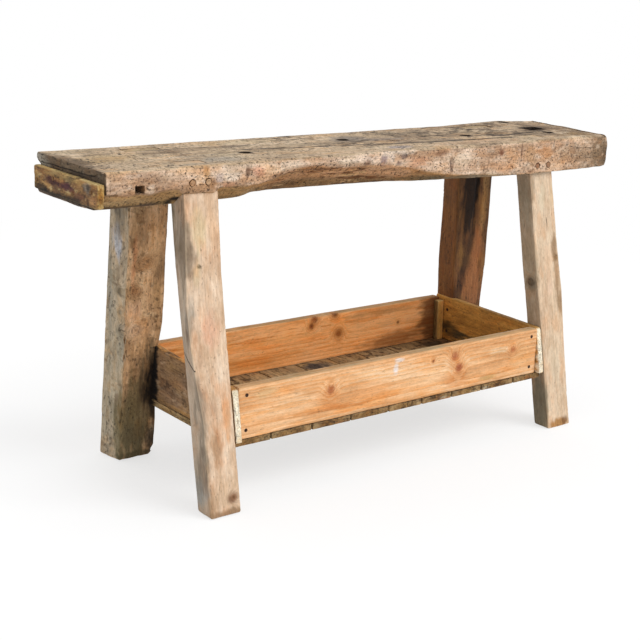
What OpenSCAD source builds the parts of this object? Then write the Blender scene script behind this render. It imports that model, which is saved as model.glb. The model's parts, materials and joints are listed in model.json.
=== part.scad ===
// A rustic carpenter's bench: a thick live-edged slab on four splayed legs that are tenoned through
// it and pegged, with a nailed board tray between the legs. Millimetres, +Z up, front towards -Y.
// The origin is on the floor under the middle of the whole bench.

/* [Slab] */
// Length of the slab along its front
slab_l = 1620; // [1300:10:2400]
// Width of the slab
slab_w = 328; // [290:1:450]
// Thickness of the slab
slab_t = 95; // [85:1:130]
// Height of the working surface above the floor
bench_h = 800; // [650:5:950]
// How far the back edge swells out near the right end
swell = 34; // [0:1:40]
// How much further the right end reaches at its back
end_skew = 28; // [0:1:60]
// Height of the hewn bevel along the front's lower edge, at its highest
wane_h = 68; // [20:1:75]
// Depth of the hewn bevel along the underside, at its deepest
wane_d = 92; // [40:1:110]
// Height of the bevel above the front left leg
seat_h = 33; // [5:1:40]
// Depth of the bevel above the front left leg
seat_d = 50; // [30:1:60]
// Length of the notch in the lower left corner of the front
notch_l = 32; // [10:1:60]
// Height of that notch
notch_h = 46; // [20:1:60]
// Depth of that notch
notch_d = 12; // [5:1:25]

/* [Holes in the slab] */
// Diameter of the holdfast holes
hole_d = 30; // [18:1:36]
// Length of the planing stop's mortise, along the bench
stop_l = 64; // [30:1:90]
// Width of that mortise, across the bench
stop_w = 52; // [30:1:64]
// From the slab's right end to the middle of that mortise
stop_end = 125; // [110:1:150]
// From the slab's front to the middle of that mortise
stop_in = 186; // [165:1:190]
// Length of the square hole in the front face
socket_l = 24; // [12:1:40]
// Height of that hole
socket_h = 18; // [10:1:24]
// Depth of that hole
socket_d = 60; // [20:1:90]
// From the slab's left end to the middle of that hole
socket_end = 85; // [55:1:120]
// From the slab's top to the middle of that hole
socket_down = 43; // [30:1:50]

/* [End batten] */
// Thickness of the batten on the slab's left end
batten_t = 18; // [12:1:30]
// Length of the batten
batten_l = 312; // [200:1:328]
// Height of the batten
batten_h = 57; // [40:1:70]
// From the slab's top to the batten's top
batten_down = 24; // [5:1:30]

/* [Front left leg] */
// Width along the bench
fl_w = 85; // [65:1:110]
// Depth across the bench
fl_d = 60; // [55:1:80]
// From the slab's left end to the leg, at the slab's underside
fl_end = 199; // [160:1:350]
// Splay towards the front, in degrees
fl_splay = 9.6; // [3:0.1:14]
// Lean away from the middle, in degrees
fl_lean = -0.7; // [-2:0.1:4]
// From the slab's front to the leg's face, at the slab's underside
fl_inset = 1; // [0:1:6]

/* [Front right leg] */
// Width along the bench
fr_w = 85; // [65:1:110]
// Depth across the bench
fr_d = 55; // [55:1:80]
// From the slab's right end to the leg, at the slab's underside
fr_end = 218; // [190:1:350]
// Splay towards the front, in degrees
fr_splay = 10.3; // [3:0.1:14]
// Lean away from the middle, in degrees
fr_lean = 1.9; // [-2:0.1:4]
// From the slab's front to the leg's face, at the slab's underside
fr_inset = 14; // [0:1:18]

/* [Back left leg] */
// Width along the bench
bl_w = 106; // [75:1:125]
// Depth across the bench
bl_d = 83; // [70:1:95]
// Splay towards the back, in degrees
bl_splay = 6.2; // [1:0.1:12]
// Lean away from the middle, in degrees
bl_lean = -1.4; // [-3:0.1:4]
// From the slab's back to the leg's face, at the slab's underside
bl_inset = 15; // [0:1:20]

/* [Back right leg] */
// Width along the bench
br_w = 117; // [75:1:125]
// Depth across the bench
br_d = 71; // [70:1:95]
// Splay towards the back, in degrees
br_splay = 3.7; // [1:0.1:12]
// Lean away from the middle, in degrees
br_lean = 2.5; // [-3:0.1:4]
// From the slab's back to the leg's face, at the slab's underside
br_inset = 7; // [0:1:20]

/* [Leg joints] */
// Thickness of the tenons, across the bench
tenon_t = 38; // [25:1:42]
// Shoulder between a leg's outer face and its tenon
tenon_in = 20; // [14:1:24]
// Shoulder at each side of a tenon
tenon_side = 5; // [0:1:12]
// Diameter of the pegs
peg_d = 14; // [8:0.5:16]
// Length of the pegs
peg_l = 88; // [70:1:110]
// Distance between the two pegs of a leg
peg_pitch = 42; // [25:1:48]
// From a leg's inner side to the middle between its pegs, on the front left leg
fl_peg_in = 42; // [36:1:46]
// The same on the front right leg
fr_peg_in = 35; // [34:1:46]
// Height of the front left leg's pegs above the slab's underside
fl_peg_up = 57; // [48:1:75]
// Height of the front right leg's pegs above the slab's underside
fr_peg_up = 24; // [12:1:75]
// Height of the back legs' pegs above the slab's underside
back_peg_up = 40; // [12:1:75]

/* [Tray] */
// Height of the side boards' lower edges above the floor
tray_z = 158; // [120:1:260]
// Height of the front and back boards
board_h = 130; // [90:1:180]
// Thickness of the front and back boards
board_t = 28; // [18:1:34]
// Thickness of the end boards
end_t = 19; // [12:1:25]
// How much higher the left end board is at the back than at the front
rise_left = 18; // [0:1:30]
// How much higher the right end board is at the back than at the front
rise_right = 6; // [0:1:30]
// From the front left leg's face to the front board, at the board's top
front_back = 2; // [0:1:10]
// Depth of the housings for the end boards in the back legs
housing = 15; // [2:1:30]
// Thickness of the floor boards
floor_t = 16; // [10:1:25]
// Gap between the floor boards
floor_gap = 3; // [1:0.5:8]
// Width of the front corner posts
front_post_w = 48; // [36:1:60]
// Width of the back corner posts
back_post_w = 24; // [20:1:60]
// Depth of the corner posts
post_d = 20; // [12:1:30]
// From the boards' top to the posts' top
post_down = 8; // [0:1:30]

/* [Nails] */
// Diameter of the nails' shanks
nail_d = 4; // [2:0.5:5]
// Diameter of the nails' heads
nail_head_d = 9; // [7:0.5:12]
// Thickness of the nails' heads
nail_head_t = 2; // [1:0.5:3]
// Length of the nails that hold the boards
nail_l = 42; // [36:1:44]
// Length of the nails that hold the batten
batten_nail_l = 70; // [50:1:90]

/* [Fits] */
// Gap at joints whose faces slope
fit = 0.2; // [0.1:0.1:0.5]
// Gap round each peg and nail
pin_gap = 0.15; // [0.1:0.05:0.3]

/* [Hidden] */
$fn = 48;
// How far a cutter runs past the face it opens
over = 1;
// How far a tenon's solid starts below its leg's shoulder
root = 20;

// Slab: its ends, underside, front and back
x_left = (batten_t - slab_l - end_skew) / 2;
x_right = x_left + slab_l;
x_far = x_right + end_skew;
z_under = bench_h - slab_t;
front_reach = max(z_under * tan(fl_splay) - fl_inset, z_under * tan(fr_splay) - fr_inset);
back_reach = max(z_under * tan(bl_splay) - bl_inset, z_under * tan(br_splay) - br_inset);
y_front = (front_reach - back_reach - slab_w) / 2;
y_back = y_front + slab_w;

// Tray heights
z_floor = tray_z - floor_t;
z_top = tray_z + board_h;
z_mid = tray_z + board_h / 2;

// Leg faces at a height z. A front leg's outer face looks to the front, a back leg's to the back.
function fl_y(z) = y_front + fl_inset - (z_under - z) * tan(fl_splay);
function fr_y(z) = y_front + fr_inset - (z_under - z) * tan(fr_splay);
function bl_y(z) = y_back - bl_inset + (z_under - z) * tan(bl_splay);
function br_y(z) = y_back - br_inset + (z_under - z) * tan(br_splay);
// Inner sides of the front legs, which carry the end boards
function left_in(z) = x_left + fl_end + fl_w - (z_under - z) * tan(fl_lean);
function right_in(z) = x_right - fr_end - fr_w + (z_under - z) * tan(fr_lean);
// Inner sides of the back legs, past the end boards by the depth of the housing
function bl_in(z) = left_in(z_mid) + housing + (z - z_mid) * tan(bl_lean);
function br_in(z) = right_in(z_mid) - housing - (z - z_mid) * tan(br_lean);
// Inner faces of the end boards, with the gap for what stands between them
function tray_left(z) = left_in(z) + fit + end_t + fit;
function tray_right(z) = right_in(z) - fit - end_t - fit;

// Front and back boards
y_fb = fl_y(z_top) + front_back;
y_bb = bl_y(z_top) - board_t;

// Middles between the pegs of each leg
fl_peg_z = z_under + fl_peg_up;
fr_peg_z = z_under + fr_peg_up;
back_peg_z = z_under + back_peg_up;
fl_peg_x = left_in(fl_peg_z) - fl_peg_in;
fr_peg_x = right_in(fr_peg_z) + fr_peg_in;
bl_peg_x = bl_in(back_peg_z) - bl_w / 2;
br_peg_x = br_in(back_peg_z) + br_w / 2;

// Bevel along the front's lower edge: share of the way between the front legs, share of its height
// and share of its depth
wane_shares = [
    [0.02, 0.62, 0.56], [0.10, 0.60, 0.61], [0.15, 0.80, 0.90], [0.21, 1, 1], [0.33, 0.92, 0.87],
    [0.44, 0.88, 0.80], [0.55, 0.70, 0.67], [0.63, 0.52, 0.50], [0.71, 0.36, 0.38],
    [0.80, 0.22, 0.22], [0.93, 0.01, 0.01]
];
// From the leg's sides to where the bevel leaves its seat
seat_side = 4;
seat_blend = 12;
wane_from = left_in(z_under) + seat_side;
wane_span = right_in(z_under) - wane_from;
// Bevel's stations: place along the bench, height and depth
stations = concat(
    [
        [x_left - over, 0.60 * wane_h, 0.55 * wane_d],
        [left_in(z_under) - fl_w - seat_side - seat_blend, 0.68 * wane_h, 0.52 * wane_d],
        [left_in(z_under) - fl_w - seat_side, seat_h, seat_d],
        [wane_from, seat_h, seat_d]
    ],
    [for (s = wane_shares) [wane_from + s[0] * wane_span, s[1] * wane_h, s[2] * wane_d]]
);

// Holdfast holes: from the slab's left end where the first value is true and else from its right
// end, and from its front. Two of them keep their distance from the slab's back edge.
hole_places = [
    [true, 445, 126], [true, 810, slab_w - 119], [false, 429, 147],
    [false, 106, slab_w + swell - 40], [false, 142, 110]
];
function hole_x(h) = h[0] ? x_left + h[1] : x_right - h[1];

// Slab's outline seen from above. The right end slants over the middle of its width, and the back
// edge swells between these distances from the end's furthest point.
slant_from = 0.3 * slab_w;
slant_to = 0.7 * slab_w;
swell_start = 370;
swell_rise = 210;
swell_peak = 110;
swell_fall = 30;
swell_shoulder = 0.7 * swell;
corner_cut = 12;
slab_outline = [
    [x_left, y_front], [x_right - corner_cut, y_front], [x_right, y_front + corner_cut],
    [x_right, y_front + slant_from], [x_far, y_front + slant_to], [x_far, y_back],
    [x_far - swell_fall, y_back + swell_shoulder], [x_far - swell_peak, y_back + swell],
    [x_far - swell_rise, y_back + swell_shoulder], [x_far - swell_start, y_back], [x_left, y_back]
];

// Batten
z_batten = bench_h - batten_down - batten_h;
batten_round = 10;
// Batten's nails: shares of its length and of its height
batten_nail_shares = [[0.10, 0.62], [0.37, 0.32], [0.66, 0.66], [0.92, 0.40]];

// Floor boards: widths, which share out the length between the legs
floor_w = [115, 122, 121, 123, 113, 105, 108, 121, 104];
function sum_to(v, n) = n == 0 ? 0 : v[n - 1] + sum_to(v, n - 1);
x_floor = left_in(z_floor) + fit + max(0, floor_t * tan(fl_lean));
floor_span = right_in(z_floor) - fit - max(0, floor_t * tan(fr_lean)) - x_floor;
function floor_x(i) = x_floor + floor_span * sum_to(floor_w, i) / sum_to(floor_w, len(floor_w));
// Nails of floor board i: two across its width, past the corner posts' nails at the tray's ends
nail_edge = 14;
past_posts = max(front_post_w, back_post_w) / 2 + nail_edge;
function floor_nails_x(i) = [
    max(floor_x(i - 1) + nail_edge, tray_left(tray_z) + past_posts),
    min(floor_x(i) - nail_edge, tray_right(tray_z) - past_posts)
];

// Heights of the other nails above the boards' lower edges
nail_low = 22;
nail_down = 21;
end_nail_low = 30;
end_nail_down = 34;
board_nail_up = [nail_low, board_h - nail_down];
end_nail_up = [end_nail_low, board_h - end_nail_down];

// A solid whose outline in Y and Z, extruded along the bench, is points
module across(points, x0, x1) {
    translate([x0, 0, 0])
        rotate([90, 0, 90])
            linear_extrude(x1 - x0)
                polygon(points);
}

// A solid whose outline in X and Z, extruded across the bench, is points
module along(points, y0, y1) {
    translate([0, y1, 0])
        rotate([90, 0, 0])
            linear_extrude(y1 - y0)
                polygon(points);
}

// A leg's tenon, from the height z0 up through the slab, widened by gap all round. The leg has
// its inner side and outer face at x_in(z) and y_out(z): here their values at z0 and at the top.
module tenon(xi, yo, w, z0, z1, gap) {
    side = sign(xi[2]);
    face = sign(yo[2]);
    x_near = tenon_side - gap;
    x_far = w - tenon_side + gap;
    y_near = tenon_in - gap;
    y_far = tenon_in + tenon_t + gap;
    intersection() {
        along([
            [xi[0] + side * x_near, z0], [xi[0] + side * x_far, z0],
            [xi[1] + side * x_far, z1], [xi[1] + side * x_near, z1]
        ], -slab_w * 2, slab_w * 2);
        across([
            [yo[0] + face * y_near, z0], [yo[0] + face * y_far, z0],
            [yo[1] + face * y_far, z1], [yo[1] + face * y_near, z1]
        ], -slab_l, slab_l);
    }
}

// Tenon of one leg by name
module leg_tenon(leg, z0, z1, gap) {
    if (leg == "fl")
        tenon([left_in(z0), left_in(z1), -1], [fl_y(z0), fl_y(z1), 1], fl_w, z0, z1, gap);
    if (leg == "fr")
        tenon([right_in(z0), right_in(z1), 1], [fr_y(z0), fr_y(z1), 1], fr_w, z0, z1, gap);
    if (leg == "bl")
        tenon([bl_in(z0), bl_in(z1), -1], [bl_y(z0), bl_y(z1), -1], bl_w, z0, z1, gap);
    if (leg == "br")
        tenon([br_in(z0), br_in(z1), 1], [br_y(z0), br_y(z1), -1], br_w, z0, z1, gap);
}

// Leg below its shoulders: a prism with level ends and sloping sides
module leg_post(xi, yo, w, d, z1) {
    side = sign(xi[2]);
    face = sign(yo[2]);
    intersection() {
        along([
            [xi[0], 0], [xi[0] + side * w, 0], [xi[1] + side * w, z1], [xi[1], z1]
        ], -slab_w * 2, slab_w * 2);
        across([
            [yo[0], 0], [yo[0] + face * d, 0], [yo[1] + face * d, z1], [yo[1], z1]
        ], -slab_l, slab_l);
    }
}

// The pegs of all legs, or their holes where grow is more than 0
module pegs(grow) {
    for (p = [[fl_peg_x, fl_peg_z, 1], [fr_peg_x, fr_peg_z, 1],
              [bl_peg_x, back_peg_z, -1], [br_peg_x, back_peg_z, -1]])
        for (s = [-0.5, 0.5])
            translate([p[0] + s * peg_pitch, p[2] > 0 ? y_front : y_back, p[1]])
                rotate([-90 * p[2], 0, 0])
                    translate([0, 0, grow > 0 ? -over - swell : 0])
                        cylinder(d = peg_d + 2 * grow, h = peg_l + (grow > 0 ? over + swell + fit : 0));
}

// A nail that points along +Z with its head's top at the origin, or its hole
module nail(l, grow) {
    translate([0, 0, grow > 0 ? -over : 0])
        cylinder(d = nail_head_d + 2 * grow, h = nail_head_t + (grow > 0 ? over : 0));
    cylinder(d = nail_d + 2 * grow, h = l + grow);
}

module batten_nail_set(grow) {
    for (p = batten_nail_shares)
        translate([x_left - batten_t, y_front + p[0] * batten_l, z_batten + p[1] * batten_h])
            rotate([0, 90, 0])
                nail(batten_nail_l, grow);
}

module front_nail_set(grow) {
    for (up = board_nail_up)
        for (x = [tray_left(z_mid) + front_post_w / 2, tray_right(z_mid) - front_post_w / 2])
            translate([x, y_fb, tray_z + up])
                rotate([-90, 0, 0])
                    nail(nail_l, grow);
}

module back_nail_set(grow) {
    for (up = board_nail_up)
        for (x = [tray_left(z_mid) + back_post_w / 2, tray_right(z_mid) - back_post_w / 2])
            translate([x, y_bb + board_t, tray_z + up])
                rotate([90, 0, 0])
                    nail(nail_l, grow);
}

// Nails through the end boards, from the tray's inside into the legs
module end_nail_set(grow) {
    for (up = end_nail_up) {
        z = tray_z + up;
        y_hind = y_bb - post_d - nail_edge;
        for (y = [fl_y(z) + fl_d / 2, y_hind])
            translate([left_in(z) + fit + end_t, y, z])
                rotate([0, -90, 0])
                    nail(nail_l, grow);
        for (y = [fr_y(z) + fr_d / 2, y_hind])
            translate([right_in(z) - fit - end_t, y, z])
                rotate([0, 90, 0])
                    nail(nail_l, grow);
    }
}

// Nails up through the floor boards into the long boards
module floor_nail_set(grow) {
    for (i = [1 : len(floor_w)])
        for (x = floor_nails_x(i))
            for (y = [y_fb + board_t / 2, y_bb + board_t / 2])
                translate([x, y, z_floor])
                    nail(nail_l, grow);
}

// Room for the tray's end boards and floor in a back leg, whose end board rises by rise
module tray_room(rise) {
    z0 = z_floor - fit;
    z1 = z_top + rise + fit;
    along([
        [left_in(z0), z0], [right_in(z0), z0], [right_in(z1), z1], [left_in(z1), z1]
    ], -slab_w * 2, slab_w * 2);
}

// The hewn bevel: a wedge that changes along the bench, cut from the slab's front lower edge
module wane_cutter() {
    n = len(stations);
    points = [
        for (s = stations)
            each [
                [s[0], y_front - over, z_under - over],
                [s[0], y_front - over, z_under + s[1] + over * s[1] / s[2]],
                [s[0], y_front + s[2] + over * s[2] / s[1], z_under - over]
            ]
    ];
    faces = concat(
        [[2, 1, 0], [3 * n - 3, 3 * n - 2, 3 * n - 1]],
        [
            for (i = [0 : n - 2], k = [0 : 2])
                each [
                    [3 * i + (k + 1) % 3, 3 * i + 3 + k, 3 * i + k],
                    [3 * i + 3 + (k + 1) % 3, 3 * i + 3 + k, 3 * i + (k + 1) % 3]
                ]
        ]
    );
    polyhedron(points, faces, convexity = 4);
}

module slab_top() {
    color("#bda283")
        difference() {
            translate([0, 0, z_under])
                linear_extrude(slab_t)
                    polygon(slab_outline);
            wane_cutter();
            translate([x_left - over, y_front - over, z_under - over])
                cube([notch_l + over, notch_d + over, notch_h + over]);
            for (leg = ["fl", "fr", "bl", "br"])
                leg_tenon(leg, z_under - over, bench_h + over, fit);
            pegs(pin_gap);
            batten_nail_set(pin_gap);
            for (h = hole_places)
                translate([hole_x(h), y_front + h[2], z_under - over])
                    cylinder(d = hole_d, h = slab_t + 2 * over);
            translate([x_right - stop_end - stop_l / 2, y_front + stop_in - stop_w / 2, z_under - over])
                cube([stop_l, stop_w, slab_t + 2 * over]);
            translate([
                x_left + socket_end - socket_l / 2, y_front - over, bench_h - socket_down - socket_h / 2
            ])
                cube([socket_l, socket_d + over, socket_h]);
        }
}

module end_batten() {
    y_hind = y_front + batten_l;
    color("#a8834a")
        difference() {
            across([
                [y_front, z_batten], [y_hind - batten_round, z_batten],
                [y_hind, z_batten + batten_round], [y_hind, z_batten + batten_h - batten_round],
                [y_hind - batten_round, z_batten + batten_h], [y_front, z_batten + batten_h]
            ], x_left - batten_t, x_left);
            batten_nail_set(pin_gap);
        }
}

module batten_nails() {
    color("#4a3328")
        batten_nail_set(0);
}

// The front left leg's shoulder climbs the bevel, so its top is cut to that slope
module leg_front_left() {
    slope = seat_h / seat_d;
    y_low = fl_y(z_under) + fl_d + over;
    color("#c9ab8b")
        difference() {
            union() {
                difference() {
                    leg_post(
                        [left_in(0), left_in(z_under + seat_h), -1],
                        [fl_y(0), fl_y(z_under + seat_h), 1], fl_w, fl_d, z_under + seat_h
                    );
                    across([
                        [y_front - slab_w, z_under + seat_h + slab_w * slope - fit],
                        [y_front + seat_d, z_under - fit], [y_front + seat_d, z_under],
                        [y_low + slab_w, z_under], [y_low + slab_w, bench_h + slab_w],
                        [y_front - slab_w, bench_h + slab_w]
                    ], -slab_l, slab_l);
                }
                leg_tenon("fl", z_under - root, bench_h, 0);
            }
            pegs(pin_gap);
            end_nail_set(pin_gap);
        }
}

module leg_front_right() {
    color("#cdb596")
        difference() {
            union() {
                leg_post(
                    [right_in(0), right_in(z_under), 1], [fr_y(0), fr_y(z_under), 1],
                    fr_w, fr_d, z_under
                );
                leg_tenon("fr", z_under - root, bench_h, 0);
            }
            pegs(pin_gap);
            end_nail_set(pin_gap);
        }
}

module leg_back_left() {
    color("#94765a")
        difference() {
            union() {
                leg_post(
                    [bl_in(0), bl_in(z_under), -1], [bl_y(0), bl_y(z_under), -1],
                    bl_w, bl_d, z_under
                );
                leg_tenon("bl", z_under - root, bench_h, 0);
            }
            tray_room(rise_left);
            pegs(pin_gap);
            end_nail_set(pin_gap);
        }
}

module leg_back_right() {
    color("#6f5138")
        difference() {
            union() {
                leg_post(
                    [br_in(0), br_in(z_under), 1], [br_y(0), br_y(z_under), -1],
                    br_w, br_d, z_under
                );
                leg_tenon("br", z_under - root, bench_h, 0);
            }
            tray_room(rise_right);
            pegs(pin_gap);
            end_nail_set(pin_gap);
        }
}

module drawbore_pegs() {
    color("#7a5230")
        pegs(0);
}

// A board that fills the tray's length, with its ends cut to the end boards' slope
module long_board(y) {
    along([
        [tray_left(tray_z), tray_z], [tray_right(tray_z), tray_z],
        [tray_right(z_top), z_top], [tray_left(z_top), z_top]
    ], y, y + board_t);
}

module tray_front_board() {
    color("#d9a469")
        difference() {
            long_board(y_fb);
            front_nail_set(pin_gap);
            floor_nail_set(pin_gap);
        }
}

module tray_back_board() {
    color("#c98a4b")
        difference() {
            long_board(y_bb);
            back_nail_set(pin_gap);
            floor_nail_set(pin_gap);
        }
}

// An end board's outline seen from the side: its ends follow the legs' faces
module end_board(y0, y1, y2, y3, rise, x_low, x_high, side) {
    z_hind = z_top + rise;
    intersection() {
        across([[y0, tray_z], [y3, tray_z], [y2, z_hind], [y1, z_top]], -slab_l, slab_l);
        along([
            [x_low, tray_z], [x_low + side * end_t, tray_z],
            [x_high + side * end_t, z_hind], [x_high, z_hind]
        ], -slab_w * 2, slab_w * 2);
    }
}

module tray_end_board_left() {
    z_hind = z_top + rise_left;
    color("#7f6248")
        difference() {
            end_board(
                fl_y(tray_z), fl_y(z_top), bl_y(z_hind), bl_y(tray_z), rise_left,
                left_in(tray_z) + fit, left_in(z_hind) + fit, 1
            );
            end_nail_set(pin_gap);
        }
}

module tray_end_board_right() {
    z_hind = z_top + rise_right;
    color("#8f6630")
        difference() {
            end_board(
                fr_y(tray_z), fr_y(z_top), br_y(z_hind), br_y(tray_z), rise_right,
                right_in(tray_z) - fit, right_in(z_hind) - fit, -1
            );
            end_nail_set(pin_gap);
        }
}

// A corner post: it stands on the floor boards against a long board and an end board
module corner_post(left, y, w) {
    z1 = z_top - post_down;
    low = left ? tray_left(tray_z) : tray_right(tray_z);
    high = left ? tray_left(z1) : tray_right(z1);
    reach = left ? w : -w;
    color("#a98d64")
        difference() {
            along([
                [low, tray_z], [low + reach, tray_z], [high + reach, z1], [high, z1]
            ], y, y + post_d);
            front_nail_set(pin_gap);
            back_nail_set(pin_gap);
        }
}

module floor_board(i) {
    color(i % 2 == 0 ? "#8a7658" : "#7d6a4e")
        difference() {
            translate([floor_x(i - 1) + (i > 1 ? floor_gap / 2 : 0), y_fb, z_floor])
                cube([
                    floor_x(i) - floor_x(i - 1)
                        - (i > 1 ? floor_gap / 2 : 0) - (i < len(floor_w) ? floor_gap / 2 : 0),
                    y_bb + board_t - y_fb, floor_t
                ]);
            floor_nail_set(pin_gap);
        }
}

module front_board_nails() {
    color("#3d2f28")
        front_nail_set(0);
}

module back_board_nails() {
    color("#3d2f28")
        back_nail_set(0);
}

module end_board_nails() {
    color("#3d2f28")
        end_nail_set(0);
}

module floor_board_nails() {
    color("#3d2f28")
        floor_nail_set(0);
}

slab_top();
end_batten();
batten_nails();
leg_front_left();
leg_front_right();
leg_back_left();
leg_back_right();
drawbore_pegs();
tray_front_board();
tray_back_board();
tray_end_board_left();
tray_end_board_right();
corner_post(true, y_fb + board_t, front_post_w);  // corner_post_front_left
corner_post(false, y_fb + board_t, front_post_w);  // corner_post_front_right
corner_post(true, y_bb - post_d, back_post_w);  // corner_post_back_left
corner_post(false, y_bb - post_d, back_post_w);  // corner_post_back_right
floor_board(1);  // floor_board_1
floor_board(2);  // floor_board_2
floor_board(3);  // floor_board_3
floor_board(4);  // floor_board_4
floor_board(5);  // floor_board_5
floor_board(6);  // floor_board_6
floor_board(7);  // floor_board_7
floor_board(8);  // floor_board_8
floor_board(9);  // floor_board_9
front_board_nails();
back_board_nails();
end_board_nails();
floor_board_nails();
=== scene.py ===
import functools
import json
import math

import bpy
import numpy as np
from mathutils import Matrix


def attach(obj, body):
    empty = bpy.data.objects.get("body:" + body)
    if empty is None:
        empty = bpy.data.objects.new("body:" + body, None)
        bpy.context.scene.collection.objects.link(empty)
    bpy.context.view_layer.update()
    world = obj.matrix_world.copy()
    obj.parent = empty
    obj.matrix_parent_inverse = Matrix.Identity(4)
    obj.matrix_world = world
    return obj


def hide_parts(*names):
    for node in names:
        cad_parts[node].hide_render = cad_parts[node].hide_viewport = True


# A rustic carpenter's bench. Sizes and places are millimetres in the bench's own frame, with +Z up
# and the front towards -Y. They become metres when a mesh is made.
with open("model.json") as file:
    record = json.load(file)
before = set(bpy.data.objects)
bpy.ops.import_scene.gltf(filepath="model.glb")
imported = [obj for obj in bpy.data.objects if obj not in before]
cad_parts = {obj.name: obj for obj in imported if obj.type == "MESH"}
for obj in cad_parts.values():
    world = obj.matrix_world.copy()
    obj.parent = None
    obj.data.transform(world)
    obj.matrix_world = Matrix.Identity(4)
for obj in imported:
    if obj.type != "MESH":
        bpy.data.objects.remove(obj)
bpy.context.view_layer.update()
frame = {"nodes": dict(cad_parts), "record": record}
metre = 0.001
print("frame loaded with", len(frame["nodes"]), "nodes")


# Camera. The place, turn and lens were solved on the bench's corners, feet and boards.
cameraView = {
    "place": (-2157.5, -2568.1, 1270.7),
    "azimuth": -38.527,  # degrees round from the front, towards the left end
    "elevation": 15.721,
    "roll": 2.492,
    "focalPixels": 1314.9,
    "imagePixels": 640,
    "sensor": 36.0,
    "clipEnd": 200.0,  # metres
}


def makeCamera(values):
    # Axes from three turns: forward from azimuth and elevation, then right and up turned by the roll
    a, e, roll = [math.radians(values[key]) for key in ("azimuth", "elevation", "roll")]
    back = np.array([math.sin(a) * math.cos(e), -math.cos(a) * math.cos(e), math.sin(e)])
    right = np.cross(-back, [0, 0, 1])
    right /= np.linalg.norm(right)
    up = np.cross(right, -back)
    turnedRight = math.cos(roll) * right + math.sin(roll) * up
    turnedUp = math.cos(roll) * up - math.sin(roll) * right
    data = bpy.data.cameras.new("camera")
    data.sensor_width = values["sensor"]
    data.lens = values["focalPixels"] / values["imagePixels"] * values["sensor"]
    data.clip_end = values["clipEnd"]
    camera = bpy.data.objects.new("camera", data)
    bpy.context.scene.collection.objects.link(camera)
    matrix = np.eye(4)
    matrix[:3, :3] = np.column_stack([turnedRight, turnedUp, back])
    matrix[:3, 3] = np.array(values["place"]) * metre
    camera.matrix_world = Matrix(matrix.tolist())
    bpy.context.scene.camera = camera


makeCamera(cameraView)
print("camera set")


# Shared shape functions


cellFactors = (374761393, 668265263, 974634777)  # large primes, one for each axis
mixFactor = 1274126177
wordMask, halfMask = 0xFFFFFFFF, 0xFFFF


def cellValue(cells, seed):
    # A repeatable value from 0 to 1 for each whole-number cell: mixed by two multiplications
    mixed = sum(cells[..., axis] * factor for axis, factor in enumerate(cellFactors))
    mixed = (mixed + seed * mixFactor) & wordMask
    mixed = ((mixed ^ (mixed >> 13)) * mixFactor) & wordMask
    return ((mixed ^ (mixed >> 16)) & halfMask) / halfMask


def noise(points, size, seed):
    # Value noise from -1 to 1: the values of a cell's eight corners, blended by smoothstep
    place = points / np.asarray(size, float)
    cells = np.floor(place).astype(np.int64)
    share = place - cells
    share = share * share * (3 - 2 * share)
    total = np.zeros(points.shape[:-1])
    for corner in np.ndindex(2, 2, 2):
        weight = np.prod(np.where(np.array(corner) == 1, share, 1 - share), axis=-1)
        total += weight * cellValue(cells + np.array(corner), seed)
    return 2 * total - 1


def layered(points, size, seed, layers=3):
    # Noise plus finer noise: each layer has half the size and half the strength of the last
    total = np.zeros(points.shape[:-1])
    for layer in range(layers):
        total += noise(points, np.asarray(size, float) / 2**layer, seed + layer) / 2**layer
    return total / (2 - 0.5 ** (layers - 1))


def smoothStep(value, low, high):
    # 0 below low, 1 above high, and 3t^2 - 2t^3 between them
    t = np.clip((value - low) / (high - low), 0, 1)
    return t * t * (3 - 2 * t)


def along(x, pairs):
    # Straight lines between given pairs of place and value
    table = np.array(pairs, float)
    return np.interp(x, table[:, 0], table[:, 1])


def soften(rings, passes):
    # Each pass moves every point to a quarter of its two neighbours and half of itself, first round
    # the ring and then along the piece
    soft = rings.copy()
    for _ in range(passes):
        soft = (np.roll(soft, 1, axis=1) + 2 * soft + np.roll(soft, -1, axis=1)) / 4
        soft[1:-1] = (soft[:-2] + 2 * soft[1:-1] + soft[2:]) / 4
    return soft


def gridNormals(rings):
    # Cross product of the differences round the ring and along the piece, turned outwards
    ahead = np.gradient(rings, axis=0)
    around = np.roll(rings, -1, axis=1) - np.roll(rings, 1, axis=1)
    normals = np.cross(around, ahead)
    normals /= np.maximum(np.linalg.norm(normals, axis=-1, keepdims=True), 1e-9)
    outwards = np.sum(normals * (rings - rings.mean(axis=1, keepdims=True)))
    return normals if outwards > 0 else -normals


def press(points, normals, dents):
    # Moves points inwards by depth times (1 - distance^2)^2 within each dent's ellipsoid
    moved = points.copy()
    for centre, radii, depth in dents:
        reach = np.sum(((points - centre) / np.array(radii, float)) ** 2, axis=-1)
        moved -= normals * (depth * np.clip(1 - reach, 0, 1) ** 2)[..., None]
    return moved


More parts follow.
